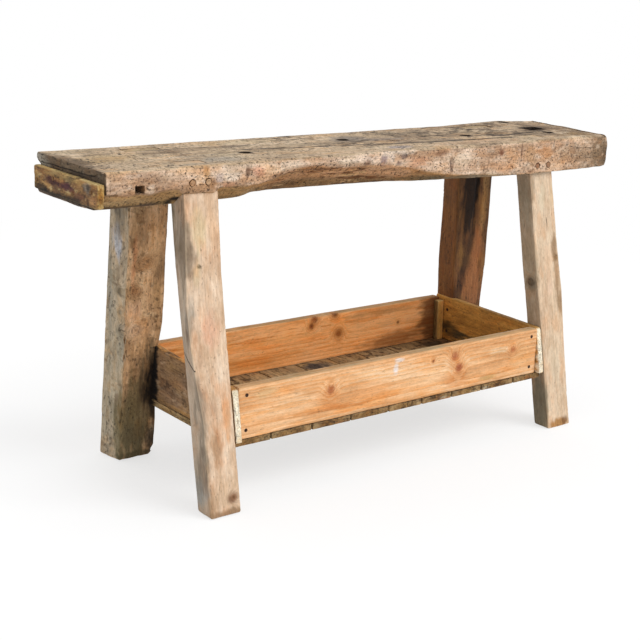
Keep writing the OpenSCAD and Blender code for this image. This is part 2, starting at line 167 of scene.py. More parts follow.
def closedMesh(name, shells):
    # One mesh of closed shells. Each shell is rows of rings; quads join the rings, and a fan of
    # triangles closes each end on the middle of its last ring.
    points, faces, start = [], [], 0
    for rings in shells:
        rows, columns = rings.shape[:2]
        count = rows * columns
        ends = np.array([rings[0].mean(axis=0), rings[-1].mean(axis=0)])
        row, column = np.meshgrid(np.arange(rows - 1), np.arange(columns), indexing="ij")
        here = row * columns + column
        beside = row * columns + (column + 1) % columns
        quads = np.stack([here, here + columns, beside + columns, beside], axis=-1).reshape(-1, 4)
        step = np.arange(columns)
        following = (step + 1) % columns
        lastRow = (rows - 1) * columns
        first = np.column_stack([step, following, np.full(columns, count)])
        last = np.column_stack([following + lastRow, step + lastRow, np.full(columns, count + 1)])
        solid = np.concatenate([rings.reshape(-1, 3), ends])
        corners = [solid[quads[:, k]] for k in range(3)]
        volume = np.sum(corners[0] * np.cross(corners[1], corners[2]))
        flip = -1 if volume < 0 else 1
        for group in (quads, first, last):
            faces += (group[:, ::flip] + start).tolist()
        points.append(solid)
        start += len(solid)
    mesh = bpy.data.meshes.new(name)
    mesh.from_pydata(np.concatenate(points) * metre, [], faces)
    mesh.update()
    piece = bpy.data.objects.new(name, mesh)
    bpy.context.scene.collection.objects.link(piece)
    return piece


def vertexValues(piece, key):
    # One vector for each vertex: "co" for its place in metres, "normal" for its direction
    flat = np.empty(len(piece.data.vertices) * 3, np.float32)
    piece.data.vertices.foreach_get(key, flat)
    return flat.reshape(-1, 3).astype(float)


def meshPoints(piece):
    # A piece's vertices in millimetres
    return vertexValues(piece, "co") / metre


def cadPoints(node):
    return meshPoints(frame["nodes"][node])


def boardCorners(node):
    # A board's eight corners: the furthest vertex in each diagonal direction, in a unit box
    points = cadPoints(node)
    low, high = points.min(axis=0), points.max(axis=0)
    unit = (points - low) / (high - low) - 0.5
    corners = np.empty((2, 2, 2, 3))
    for corner in np.ndindex(2, 2, 2):
        corners[corner] = points[np.argmax(unit @ (2 * np.array(corner) - 1))]
    return corners


# Shared colour and material functions


def linear(code):
    # sRGB hex to linear light: c / 12.92 where dark, and ((c + 0.055) / 1.055)^2.4 above
    parts = np.array([int(code[k:k + 2], 16) for k in (1, 3, 5)]) / 255
    return np.where(parts <= 0.04045, parts / 12.92, ((parts + 0.055) / 1.055) ** 2.4)


# Values that all painted pieces share
marking = {
    "rimCoarse": 0.45,  # how far coarse and fine noise break a patch's rim
    "rimFine": 0.25,
    "rimFade": 0.6,
    "crowdSize": (120, 80, 40),
    "crowdSeed": 91,
    "markFrom": 0.3,
    "markTo": 0.42,
    "wanderSize": 38,
    "wander": 2.5,
    "crackNear": 14,  # how far a crack is followed beside its line and below the surface
    "crackBelow": 8,
}


# These two lay real stains and painted light and shade alike
def layStainAndShade(tint, colour, amount):
    # Lays a colour over the tint so far: the new share is amount, and the rest keeps its share
    amount = np.clip(amount, 0, 1)
    kept = tint[:, 3] * (1 - amount)
    total = np.maximum(amount + kept, 1e-6)
    tint[:, :3] = (linear(colour) * amount[:, None] + tint[:, :3] * kept[:, None]) / total[:, None]
    tint[:, 3] = amount + kept


def stainAndShadePatches(tint, points, patches, ragged, seed):
    # Each patch fades as 1 - distance^2 in its ellipsoid, with its rim broken along the grain
    broken = marking["rimCoarse"] * layered(points, ragged, seed)
    broken += marking["rimFine"] * layered(points, np.array(ragged) / 3, seed + 5)
    for centre, radii, colour, strength in patches:
        reach = np.sqrt(np.sum(((points - centre) / np.array(radii, float)) ** 2, axis=-1))
        layStainAndShade(tint, colour, strength * smoothStep(1 - reach + broken, 0.0, marking["rimFade"]))


def scribble(tint, points, marks, share):
    # Marks lie wherever a layered noise of their size is high, and crowd together in places
    crowded = 0.5 * layered(points, marking["crowdSize"], marking["crowdSeed"])
    for size, colour, amount, seed in marks:
        level = layered(points, size, seed) + crowded
        layStainAndShade(tint, colour, share * amount * smoothStep(level, marking["markFrom"], marking["markTo"]))


def crackOffsets(points, cracks):
    # Signed distance from the nearest crack's centre line, and its half width there, which shrinks
    # as an ellipse's does. A crack is its middle, direction, side, half length and half width.
    farAway = 100
    best = np.full(len(points), np.inf)
    result = np.zeros((len(points), 3))
    result[:, 0] = farAway
    for middle, direction, side, halfLength, halfWidth in cracks:
        ahead = np.array(direction, float)
        ahead /= np.linalg.norm(ahead)
        across = np.array(side, float)
        across -= ahead * (across @ ahead)
        across /= np.linalg.norm(across)
        depth = np.cross(ahead, across)
        place = points - np.array(middle, float)
        t = place @ ahead / halfLength
        line = np.stack([place @ ahead, 0 * t, 0 * t], axis=-1)
        offset = place @ across + marking["wander"] * noise(line, marking["wanderSize"], int(halfLength))
        near = (np.abs(t) < 1) & (np.abs(offset) < np.minimum(best, marking["crackNear"]))
        near &= np.abs(place @ depth) < marking["crackBelow"]
        best = np.where(near, np.abs(offset), best)
        width = halfWidth * np.sqrt(np.clip(1 - t * t, 0, 1))
        result[near] = np.stack([offset, width, 0 * t], axis=-1)[near]
    return result


def setAttribute(piece, name, kind, values):
    attribute = piece.data.attributes.new(name, kind, "POINT")
    key = {"FLOAT": "value", "FLOAT_VECTOR": "vector", "FLOAT_COLOR": "color"}[kind]
    attribute.data.foreach_set(key, values.astype(np.float32).ravel())


def put(tree, kind, settings, inputs):
    # Adds one node, sets its values and ramp stops, and links or fills its inputs. A node given as
    # an input stands for its first output.
    node = tree.nodes.new(kind)
    for name, value in settings.items():
        if name == "stops":
            ramp = node.color_ramp
            while len(ramp.elements) < len(value):
                ramp.elements.new(0.5)
            for element, (position, colour) in zip(ramp.elements, value):
                element.position = position
                element.color = (*linear(colour), 1)
        else:
            setattr(node, name, value)
    for key, value in inputs.items():
        source = value.outputs[0] if isinstance(value, bpy.types.Node) else value
        if isinstance(source, bpy.types.NodeSocket):
            tree.links.new(source, node.inputs[key])
        else:
            node.inputs[key].default_value = source
    return node


def emptyMaterial(name):
    # A material without nodes, and the call that adds nodes to it
    material = bpy.data.materials.new(name)
    material.use_nodes = True
    material.node_tree.nodes.clear()
    return material, functools.partial(put, material.node_tree)


def oldWood(name, look):
    # Old sawn wood, dry and rubbed: a blotchy tone, growth rings round the pith, fibres along the
    # grain, pits, drying cracks and rubbed edges. The piece's own attributes place all of them.
    material, add = emptyMaterial(name)
    grain = add("ShaderNodeAttribute", {"attribute_name": "grain"}, {}).outputs["Vector"]
    tint = add("ShaderNodeAttribute", {"attribute_name": "tint"}, {})
    crack = add("ShaderNodeAttribute", {"attribute_name": "crack"}, {}).outputs["Vector"]
    wear = add("ShaderNodeAttribute", {"attribute_name": "wear"}, {}).outputs["Fac"]

    # Patterns: noise stretched along the grain to each one's size
    patterns = {}
    for key, (detail, roughness) in look["noises"].items():
        place = add("ShaderNodeVectorMath", {"operation": "DIVIDE"}, {0: grain, 1: look[key]})
        patterns[key] = add("ShaderNodeTexNoise", {}, {
            "Vector": place, "Scale": 1.0, "Detail": detail, "Roughness": roughness
        })

    # Shares: straight from the least to the most as a pattern rises from low to high
    pitFrom, scarFrom, roughness = look["pitFrom"], look["scarFrom"], look["roughness"]
    shares = {}
    for key, source, low, high, least, most in [
        ("tone", "blotch", 0.3, 0.7, 0, 1),
        ("blotch", "blotch", 0.3, 0.7, -0.5, 0.5),
        ("streak", "streak", 0.3, 0.7, -0.5, 0.5),
        ("fibre", "fibre", 0.25, 0.75, -0.5, 0.5),
        ("grit", "grit", 0.3, 0.7, -0.5, 0.5),
        ("pits", "speck", pitFrom, pitFrom + look["pitEdge"], 0, 1),
        ("nicks", "scar", scarFrom, scarFrom + look["scarEdge"], 0, 1),
        ("crowded", "crowd", 0.42, 0.56, 0, 1),
        ("rubbed", "streak", 0.35, 0.6, 0, look["rub"]),
        ("rough", "blotch", 0.3, 0.7, roughness - look["roughSpread"], roughness + look["roughSpread"]),
    ]:
        shares[key] = add("ShaderNodeMapRange", {}, {
            "Value": patterns[source], "From Min": low, "From Max": high, "To Min": least, "To Max": most
        })
    scars = add("ShaderNodeMath", {"operation": "MULTIPLY"}, {0: shares["nicks"], 1: shares["crowded"]})

    # Growth rings: the distance from the pith in ring widths, drifting with the streaks. The late
    # wood's share is the fraction of it that is left over, raised to a power.
    section = add("ShaderNodeVectorMath", {"operation": "MULTIPLY"}, {0: grain, 1: (0, 1, 1)})
    radius = add("ShaderNodeVectorMath", {"operation": "LENGTH"}, {0: section}).outputs["Value"]
    drift = add("ShaderNodeMath", {"operation": "MULTIPLY"}, {0: patterns["streak"], 1: look["ringDrift"]})
    turns = add("ShaderNodeMath", {"operation": "MULTIPLY_ADD"}, {0: radius, 1: 1 / look["ring"], 2: drift})
    turned = add("ShaderNodeMath", {"operation": "FRACT"}, {0: turns})
    late = add("ShaderNodeMath", {"operation": "POWER"}, {0: turned, 1: look["ringEdge"]})

    # A crack is open where its centre line, made ragged by the fibres, is nearer than its half width
    sides = add("ShaderNodeSeparateXYZ", {}, {0: crack})
    away = add("ShaderNodeMath", {"operation": "ADD"}, {0: sides.outputs["X"], 1: -look["crackRag"] / 2})
    away = add("ShaderNodeMath", {"operation": "MULTIPLY_ADD"}, {
        0: patterns["fibre"], 1: look["crackRag"], 2: away
    })
    away = add("ShaderNodeMath", {"operation": "ABSOLUTE"}, {0: away})
    inside = add("ShaderNodeMath", {"operation": "SUBTRACT"}, {0: sides.outputs["Y"], 1: away})
    cleft = add("ShaderNodeMapRange", {}, {"Value": inside, "From Min": -0.2, "From Max": 0.6})

    # Light and dark: 1 plus each pattern's share times its depth, less what pits and scars take
    light = 1.0
    for key in ("fibre", "streak", "blotch", "grit"):
        light = add("ShaderNodeMath", {"operation": "MULTIPLY_ADD"}, {
            0: shares[key], 1: look[key + "Depth"], 2: light
        })
    for marks, depth in ((shares["pits"], look["pitDepth"]), (scars, look["scarDepth"])):
        left = add("ShaderNodeMath", {"operation": "MULTIPLY_ADD"}, {0: marks, 1: -depth, 2: 1.0})
        light = add("ShaderNodeMath", {"operation": "MULTIPLY"}, {0: light, 1: left})

    # Colour: the wood's own tone under the piece's stains and painted light and shade, then casts,
    # rings, light, rubbing, cracks
    tone = add("ShaderNodeValToRGB", {"stops": look["tones"]}, {"Fac": shares["tone"]})
    colour = add("ShaderNodeMix", {"data_type": "RGBA"}, {
        0: tint.outputs["Alpha"], 6: tone, 7: tint.outputs["Color"]
    }).outputs[2]
    cast = add("ShaderNodeValToRGB", {"stops": look["casts"]}, {"Fac": patterns["hue"]})
    ringTint = add("ShaderNodeVectorMath", {"operation": "MULTIPLY_ADD"}, {
        0: late, 1: [-depth for depth in look["ringDepths"]], 2: (1, 1, 1)
    })
    for factor in (cast, ringTint):
        colour = add("ShaderNodeVectorMath", {"operation": "MULTIPLY"}, {0: colour, 1: factor})
    colour = add("ShaderNodeVectorMath", {"operation": "SCALE"}, {0: colour, "Scale": light})
    rub = add("ShaderNodeMath", {"operation": "MULTIPLY"}, {0: wear, 1: shares["rubbed"]})
    dark = add("ShaderNodeMath", {"operation": "MULTIPLY"}, {0: cleft, 1: look["crackDepth"]})
    for share, code in ((rub, look["rubColour"]), (dark, look["crackColour"])):
        colour = add("ShaderNodeMix", {"data_type": "RGBA"}, {
            0: share, 6: colour, 7: (*linear(code), 1)
        }).outputs[2]

    # Relief in millimetres: each part's share times its height
    reliefs = {
        "fibre": patterns["fibre"], "streak": patterns["streak"], "late": late,
        "pits": shares["pits"], "scars": scars, "clefts": cleft,
    }
    height = 0.0
    for key, rise in look["heights"].items():
        height = add("ShaderNodeMath", {"operation": "MULTIPLY_ADD"}, {0: reliefs[key], 1: rise, 2: height})
    bump = add("ShaderNodeBump", {}, {"Strength": 1.0, "Distance": metre, "Height": height})
    surface = add("ShaderNodeBsdfPrincipled", {}, {
        "Base Color": colour, "Roughness": shares["rough"], "Specular IOR Level": look["specular"],
        "Normal": bump,
    })
    add("ShaderNodeOutputMaterial", {}, {"Surface": surface})
    return material


# What all the woods share: pattern sizes in millimetres (along the grain, across, across) and the
# strengths of light and dark. The fibres are drawn about three times as coarse as real ones, so that
# they show in a picture of the whole bench.
plainWood = {
    "blotch": (130, 42, 42),
    "streak": (190, 8, 8),
    "fibre": (40, 2.6, 2.6),
    "speck": (9, 3.2, 3.2),
    "scar": (14, 6.5, 6.5),
    "crowd": (110, 50, 50),
    "grit": (9, 5, 5),
    "hue": (90, 34, 34),
    "noises": {  # detail and roughness of each pattern
        "blotch": (5.0, 0.62), "streak": (4.0, 0.6), "fibre": (4.0, 0.65), "speck": (2.0, 0.5),
        "scar": (3.0, 0.62), "crowd": (2.0, 0.5), "grit": (3.0, 0.7), "hue": (3.0, 0.6),
    },
    "casts": [(0.36, "#eeebe4"), (0.5, "#ffffff"), (0.66, "#fff0dd")],
    "ring": 6.5,
    "ringDrift": 2.2,
    "ringEdge": 2.5,
    "pitFrom": 0.64,
    "pitEdge": 0.06,
    "scarFrom": 0.6,
    "scarEdge": 0.035,
    "fibreDepth": 0.4,
    "streakDepth": 0.3,
    "blotchDepth": 0.25,
    "gritDepth": 0.3,
    "ringDepths": (0.1, 0.14, 0.2),
    "pitDepth": 0.5,
    "scarDepth": 0.35,
    "rub": 0.45,
    "rubColour": "#cdbb9c",
    "crackColour": "#1d1510",
    "crackDepth": 0.92,
    "crackRag": 2.4,
    "heights": {"fibre": 0.8, "streak": 0.9, "late": 0.18, "pits": -0.6, "scars": -1.0, "clefts": -2.4},
    "roughness": 0.76,
    "roughSpread": 0.08,
    "specular": 0.3,
}

# One finish for each kind of timber on the bench, darkest tone first
finishes = {
    # Beech slab planed smooth long ago: pinkish tan face, grey worn top, ochre hewn edge. On the top,
    # which is seen at a slant, patterns are drawn wider across the grain so that they show.
    "slab_timber": ("rubbedBeechSlab", {
        "tones": [(0.0, "#b08b6b"), (0.35, "#cdaa8d"), (0.7, "#dcc0a7"), (1.0, "#e8d3be")],
        "rubColour": "#dcc7ab", "ring": 8.0, "scarDepth": 0.85, "pitDepth": 0.65, "scarFrom": 0.59,
        "pitFrom": 0.595, "crowd": (80, 60, 30), "scar": (7, 15, 6), "speck": (5, 11, 4.5),
        "grit": (7, 17, 5), "gritDepth": 0.56, "streak": (150, 22, 10), "fibre": (34, 8, 3.2),
        "blotch": (110, 70, 36), "blotchDepth": 0.18, "streakDepth": 0.2, "fibreDepth": 0.28,
    }),
    # Batten of resinous pine, handled dark and greasy
    "batten_timber": ("handledPineBatten", {
        "tones": [(0.0, "#5b3b25"), (0.5, "#a87f47"), (1.0, "#c9a468")],
        "rubColour": "#d2b578", "scarDepth": 0.6, "blotchDepth": 0.5, "blotch": (60, 26, 26), "rub": 0.7,
        "gritDepth": 0.45,
    }),
    # Front legs: pale sawn pine, pinkish on the front, dusty grey on the sides
    "front_leg_timber": ("palePineLeg", {
        "tones": [(0.0, "#c49f80"), (0.4, "#d8b99b"), (1.0, "#e6d0b8")],
        "rubColour": "#d6bf9d", "ringDepths": (0.04, 0.07, 0.1), "scarDepth": 0.25, "scarFrom": 0.65,
        "blotchDepth": 0.16, "streakDepth": 0.14, "fibreDepth": 0.3, "pitFrom": 0.69, "pitDepth": 0.25,
        "gritDepth": 0.26, "grit": (14, 6, 6),
        "casts": [(0.36, "#f4efe9"), (0.5, "#ffffff"), (0.66, "#fff0e4")],
    }),
    # Back left leg: brown, rough, weathered pine
    "back_leg_timber": ("brownPineLeg", {
        "tones": [(0.0, "#977654"), (0.5, "#c79f76"), (1.0, "#e3c29c")],
        "rubColour": "#cfae84", "scarDepth": 0.5, "pitDepth": 0.5, "fibreDepth": 0.3, "scar": (12, 8, 8),
        "scarFrom": 0.58, "gritDepth": 0.42, "grit": (12, 7, 7), "streakDepth": 0.2,
    }),
    # Back right leg: oily, dark, dull pine
    "dark_leg_timber": ("oiledDarkPineLeg", {
        "tones": [(0.0, "#5a3d26"), (0.5, "#7f5835"), (1.0, "#96703f")],
        "rubColour": "#a07a4d", "scarDepth": 0.45, "fibreDepth": 0.45,
    }),
    # Pegs: split oak, end grain showing, dirty round the rim
    "peg_timber": ("splitOakPeg", {
        "tones": [(0.0, "#8a6446"), (0.5, "#bb9674"), (1.0, "#cfb08c")], "rubColour": "#4a3324",
    }),
    # Tray's long boards: younger pine that has kept its orange
    "tray_pine": ("orangeTrayPine", {
        "tones": [(0.0, "#d69d68"), (0.45, "#edba88"), (1.0, "#f7d5ae")],
        "rubColour": "#cdb38c", "ring": 8.0, "ringDepths": (0.1, 0.3, 0.52), "ringDrift": 1.6,
        "blotchDepth": 0.1, "scarDepth": 0.2, "scarFrom": 0.66, "pitFrom": 0.68, "pitDepth": 0.35,
        "blotch": (260, 60, 60), "gritDepth": 0.18, "streakDepth": 0.18, "hue": (160, 34, 34),
        "casts": [(0.38, "#faf6f0"), (0.5, "#ffffff"), (0.64, "#ffecd0")],
    }),
    # End boards: rough ochre and brown pine
    "end_board_timber": ("ochreBoardPine", {
        "tones": [(0.0, "#7d5a2c"), (0.5, "#a47c3f"), (1.0, "#bb9554")],
        "rubColour": "#c8a671", "scarDepth": 0.4, "scarFrom": 0.59, "gritDepth": 0.4, "grit": (10, 6, 6),
        "rub": 0.12,
    }),
    # Corner posts: plain sawn spruce
    "post_timber": ("sawnSprucePost", {
        "tones": [(0.0, "#c2985a"), (0.5, "#e4be7a"), (1.0, "#f3d7a0")], "rubColour": "#e0c898",
    }),
    # Floor boards: dusty, grey-brown, never finished
    "floor_timber": ("dustyFloorBoard", {
        "tones": [(0.0, "#6b563a"), (0.5, "#a0855c"), (1.0, "#c0a47a")],
        "rubColour": "#b39c76", "streakDepth": 0.75, "streak": (160, 12, 12), "scarDepth": 0.6,
        "scarFrom": 0.57, "gritDepth": 0.4,
    }),
}
timbers = {slot: oldWood(name, {**plainWood, **look}) for slot, (name, look) in finishes.items()}


# Iron of the nails: sizes in millimetres
rust = {
    "scaleSize": 2.5,
    "relief": 0.6,
    "metallic": 0.55,
    "roughness": 0.68,
}


def rustedIron(name, stops):
    # Hand-made nails: rusted iron, brown-black with orange scale, and no shine left
    material, add = emptyMaterial(name)
    place = add("ShaderNodeTexCoord", {}, {}).outputs["Object"]
    scale = add("ShaderNodeTexNoise", {}, {
        "Vector": place, "Scale": 1 / (rust["scaleSize"] * metre), "Detail": 4.0
    })
    colour = add("ShaderNodeValToRGB", {"stops": stops}, {"Fac": scale})
    bump = add("ShaderNodeBump", {}, {"Distance": rust["relief"] * metre, "Height": scale})
    surface = add("ShaderNodeBsdfPrincipled", {}, {
        "Base Color": colour, "Metallic": rust["metallic"], "Roughness": rust["roughness"], "Normal": bump
    })
    add("ShaderNodeOutputMaterial", {}, {"Surface": surface})
    return material


nailIron = rustedIron("rustedNailIron", [(0.3, "#1e1714"), (0.5, "#3b2921"), (0.7, "#6a4128")])
handledIron = rustedIron("handledNailIron", [(0.3, "#5b4026"), (0.5, "#7d5a35"), (0.7, "#9a7444")])
print("materials made:", len(timbers) + 2)


sharpAngle = math.radians(40)  # corners sharper than this show as edges


def finishPiece(piece, slot, nodes):
    # Smooth shading with sharp corners, one material, and the piece's tie to the bench
    piece.data.materials.clear()
    piece.data.materials.append(timbers[slot])
    piece.data.shade_smooth()
    piece.data.set_sharp_from_angle(angle=sharpAngle)
    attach(piece, "root")
    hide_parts(*nodes)


capFrom, capTo = 0.08, 0.999  # an end's innermost and outermost rings, as shares of its full size


def loftGrid(sections, spacing):
    # Rings through sections of four corners each: straight lines between sections, points at even
    # steps round each section's sides, and rings that shrink to the middle at both ends.
    # Returns the rings and, for each point, its place along the piece, across it and through it.
    sections = np.array(sections, float)
    middles = sections.mean(axis=(1, 2))
    width = np.linalg.norm(sections[0, 1] - sections[0, 0], axis=-1).mean()
    thick = np.linalg.norm(sections[0, :, 1] - sections[0, :, 0], axis=-1).mean()
    acrossCount, throughCount = [max(6, round(size / spacing)) for size in (width, thick)]
    side, edge = np.arange(acrossCount) / acrossCount, np.arange(throughCount) / throughCount
    j = np.concatenate([side, np.ones(throughCount), 1 - side, np.zeros(throughCount)])
    k = np.concatenate([np.zeros(acrossCount), edge, np.ones(acrossCount), 1 - edge])
    stations = []
    for number in range(len(sections) - 1):
        gap = np.abs(sections[number + 1] - sections[number]).max()
        steps = max(3, round(gap / spacing))
        stations.append(number + np.arange(steps) / steps)
    stations = np.concatenate([*stations, [len(sections) - 1]])
    shrink = np.arange(capFrom, capTo, spacing / (min(width, thick) / 2))
    row = np.pad(stations, len(shrink), mode="edge")
    scale = np.concatenate([shrink, np.ones(len(stations)), shrink[::-1]])
    low = np.minimum(row.astype(int), len(sections) - 2)
    part = (row - low)[:, None, None, None]
    corner = sections[low] * (1 - part) + sections[low + 1] * part
    jj = (0.5 + (j[None] - 0.5) * scale[:, None])[..., None]
    kk = (0.5 + (k[None] - 0.5) * scale[:, None])[..., None]
    near = corner[:, 0, 0, None] * (1 - jj) + corner[:, 1, 0, None] * jj
    far = corner[:, 0, 1, None] * (1 - jj) + corner[:, 1, 1, None] * jj
    rings = near * (1 - kk) + far * kk
    gaps = np.linalg.norm(np.diff(middles, axis=0), axis=-1)
    length = np.interp(row, np.arange(len(sections)), np.concatenate([[0], np.cumsum(gaps)]))
    length = np.broadcast_to(length[:, None], jj.shape[:2])
    return rings, np.stack([length, (jj[..., 0] - 0.5) * width, (kk[..., 0] - 0.5) * thick], axis=-1)


# What a plank has unless its own values say otherwise. Sizes are millimetres.
plainPlank = {
    "spacing": 3.5,  # between the points of the surface
    "softness": 3,  # passes that round the arrises, and the share of the rounding that is taken
    "rounding": 1.0,
    "unevenSize": (70, 70, 70),
    "rough": 0.9,
    "roughSize": (90, 22, 22),
    "fineSize": (30, 5, 5),
    "chips": 4.0,
    "chipFrom": 0.25,  # a higher level leaves fewer chips
    "chipSize": (34, 34, 22),
    "pith": (30, 70),
    "swells": {},  # side or arris: height and how far it stands out
    "dents": [],
    "faces": [],  # direction, colour and strength
    "facePatchSize": (60, 60, 90),
    "scribbles": [],
    "stainsAndShade": [],
    "ragged": (30, 30, 30),
    "knots": [],  # middle, radius and colour
    "knotWobble": 0.4,
    "knotWobbleSize": (14, 14, 14),
    "knotRim": "#3a2214",
    "cracks": [],
}


def makePlank(node, sections, look):
    # A sawn timber: the loft, its arrises rounded by softening, then worn and roughened inwards.
    # A swell moves a side or an arris outwards by height, in even shares from the one across.
    look = {**plainPlank, **look}
    seed, rough = look["seed"], look["rough"]
    rings, local = loftGrid(sections, look["spacing"])
    across, through = [(local[..., k] - local[..., k].min()) / np.ptp(local[..., k]) for k in (1, 2)]
    shares = {
        "right": across, "left": across - 1, "leftFront": (across - 1) * (1 - through),
        "leftBack": (across - 1) * through,
    }
    for side, swell in look["swells"].items():
        rings[..., 0] += shares[side] * along(rings[..., 2], swell)
    soft = soften(rings, look["softness"])
    uneven = 0.85 + 0.55 * layered(rings, look["unevenSize"], seed)
    wear = np.linalg.norm(soft - rings, axis=-1)
    worn = rings + (soft - rings) * look["rounding"] * np.clip(uneven, 0.3, 1.4)[..., None]
    normals = gridNormals(soften(rings, 2))
    depth = rough * (0.5 + 0.5 * layered(local, look["roughSize"], seed + 11))
    depth += 0.35 * rough * (0.5 + 0.5 * noise(local, look["fineSize"], seed + 17))
    chips = layered(rings, look["chipSize"], seed + 23) - look["chipFrom"]
    depth += look["chips"] * smoothStep(wear, 0.5, 2.5) * np.clip(chips, 0, 1)
    worn = press(worn - normals * depth[..., None], normals, look["dents"])
    piece = closedMesh("worn_" + node, [worn])
    ends = [local[0].mean(axis=0), local[-1].mean(axis=0)]
    grain = np.concatenate([local.reshape(-1, 3), ends]) + np.array([seed * 137.0, *look["pith"]])
    dressPiece(piece, grain, np.concatenate([wear.ravel(), [0, 0]]), look)
    finishPiece(piece, look["slot"], [node])


def dressPiece(piece, grain, wear, look):
    # The four attributes that the wood reads. Faces take a colour by the way they look, patches by
    # their place. Knots push the grain aside by a bell of the distance from them.
    points = meshPoints(piece)
    normals = vertexValues(piece, "normal")
    tint = np.zeros((len(points), 4))
    uneven = 0.8 + 0.45 * layered(points, look["facePatchSize"], look["seed"] + 29)
    # Face colours and patches hold real colour and, on some pieces, painted light and shade
    for direction, colour, strength in look["faces"]:
        amount = smoothStep(normals @ np.array(direction, float), 0.55, 0.85)
        layStainAndShade(tint, colour, amount * strength * uneven)
    scribble(tint, points, look["scribbles"], 1.0)
    stainAndShadePatches(tint, points, look["stainsAndShade"], look["ragged"], look["seed"] + 31)
    wobble = look["knotWobble"] * layered(points, look["knotWobbleSize"], look["seed"] + 37)
    for centre, size, colour in look["knots"]:
        reach = np.linalg.norm((points - centre) / size, axis=-1)
        grain[:, 1:] *= (1 + 0.4 * np.exp(-((reach / 1.7) ** 2)))[:, None]
        reach += wobble * (1 + 0.4 * reach)
        rim = smoothStep(wobble, -0.1, 0.12) * (1 - smoothStep(np.abs(reach - 0.95), 0.0, 0.25))
        for part, share in (
            (look.get("knotHalo", colour), 0.6 * (1 - smoothStep(reach, 0.9, 2.4))),
            (colour, 0.9 * (1 - smoothStep(reach, 0.5, 1.1))),
            (look["knotRim"], 0.75 * rim),
            (look["knotRim"], 0.6 * (1 - smoothStep(reach, 0.1, 0.4))),
        ):
            layStainAndShade(tint, part, share)
    setAttribute(piece, "grain", "FLOAT_VECTOR", grain)
    setAttribute(piece, "tint", "FLOAT_COLOR", tint)
    setAttribute(piece, "crack", "FLOAT_VECTOR", crackOffsets(points, look["cracks"]))
    setAttribute(piece, "wear", "FLOAT", smoothStep(wear, 0.4, 3.0))


# Slab. Its lower front edge is hewn away in a long bevel, deepest between the legs.
slabBox = np.array([cadPoints("slab_top").min(axis=0), cadPoints("slab_top").max(axis=0)])
slabLeft, slabRight = slabBox[0, 0], slabBox[1, 0]
slabFront, slabTop = slabBox[0, 1], slabBox[1, 2]
slabUnder = slabBox[0, 2]
slab = {
    "rowStep": 3.3,
    "capFrom": 0.06,  # an end's innermost ring, and the step outwards
    "capStep": 0.07,
    "counts": {"top": 60, "front": 16, "bevel": 22, "under": 40, "back": 14},
    "backEdge": [(-815, 191), (0, 191.5), (440, 192), (620, 215), (715, 225.5), (790, 219), (833, 196)],
    "rightEnd": [(-136, 799), (-118, 803.5), (-38, 804.5), (92, 831), (190, 831.5), (226, 812)],
    "breakLine": [
        (-815, 750), (-781, 748), (-756, 744), (-731, 748), (-702, 743), (-666, 751), (-631, 752),
        (-620, 740), (-527, 738), (-518, 748), (-450, 745), (-407, 746), (-362, 753), (-328, 765),
        (-284, 772), (-240, 773), (-179, 767), (-132, 765), (-69, 765), (-14, 761), (46, 753),
        (115, 740), (167, 731), (220, 725), (293, 721), (426, 711), (520, 709), (700, 709), (833, 712),
    ],
    "bevelDepth": [
        (-815, 51), (-634, 48), (-620, 50), (-527, 50), (-506, 52), (-424, 56), (-373, 83),
        (-311, 92), (-187, 82), (-74, 75), (39, 63), (121, 47), (204, 36), (296, 22), (430, 7), (833, 5),
    ],
    "bevelFoot": [
        (-815, 708), (-450, 706), (-373, 710), (-240, 710), (40, 710), (120, 708), (430, 707), (833, 708),
    ],
    "bevelSag": 5.0,
    "hewn": 2.8,
    "hewnSize": (70, 34, 26),
    "hewnFine": 1.5,
    "hewnFineSize": (30, 12, 7),
    "worn": 0.9,
    "wornSize": (160, 60, 60),
    "wornFine": 0.35,
    "wornFineSize": (25, 8, 8),
    "chips": 7,
    "chipSize": (60, 40, 30),
    "endWear": 4.5,  # the top sinks towards its right end
    "endWearFrom": (700, 810),
    "softness": 2,
    "archRounding": 46,
    "archFrom": (-420, -330),
    "archTo": (40, 120),
    "seed": 3,
    "dents": [
        ((-815, 194, 766), (30, 44, 19), 18), ((-602, 191, 800), (10, 9, 9), 5),
        ((-300, 191, 800), (60, 10, 8), 3), ((120, 192, 800), (80, 10, 8), 3),
        ((805, -136, 800), (26, 30, 34), 7), ((805, -136, 706), (30, 40, 24), 4),
        ((831, 100, 800), (14, 60, 12), 5), ((-447, -136, 776), (10, 10, 22), 3.5),
        ((-91, -136, 783), (9, 10, 14), 4), ((190, -136, 757), (8, 10, 20), 4),
    ],
}


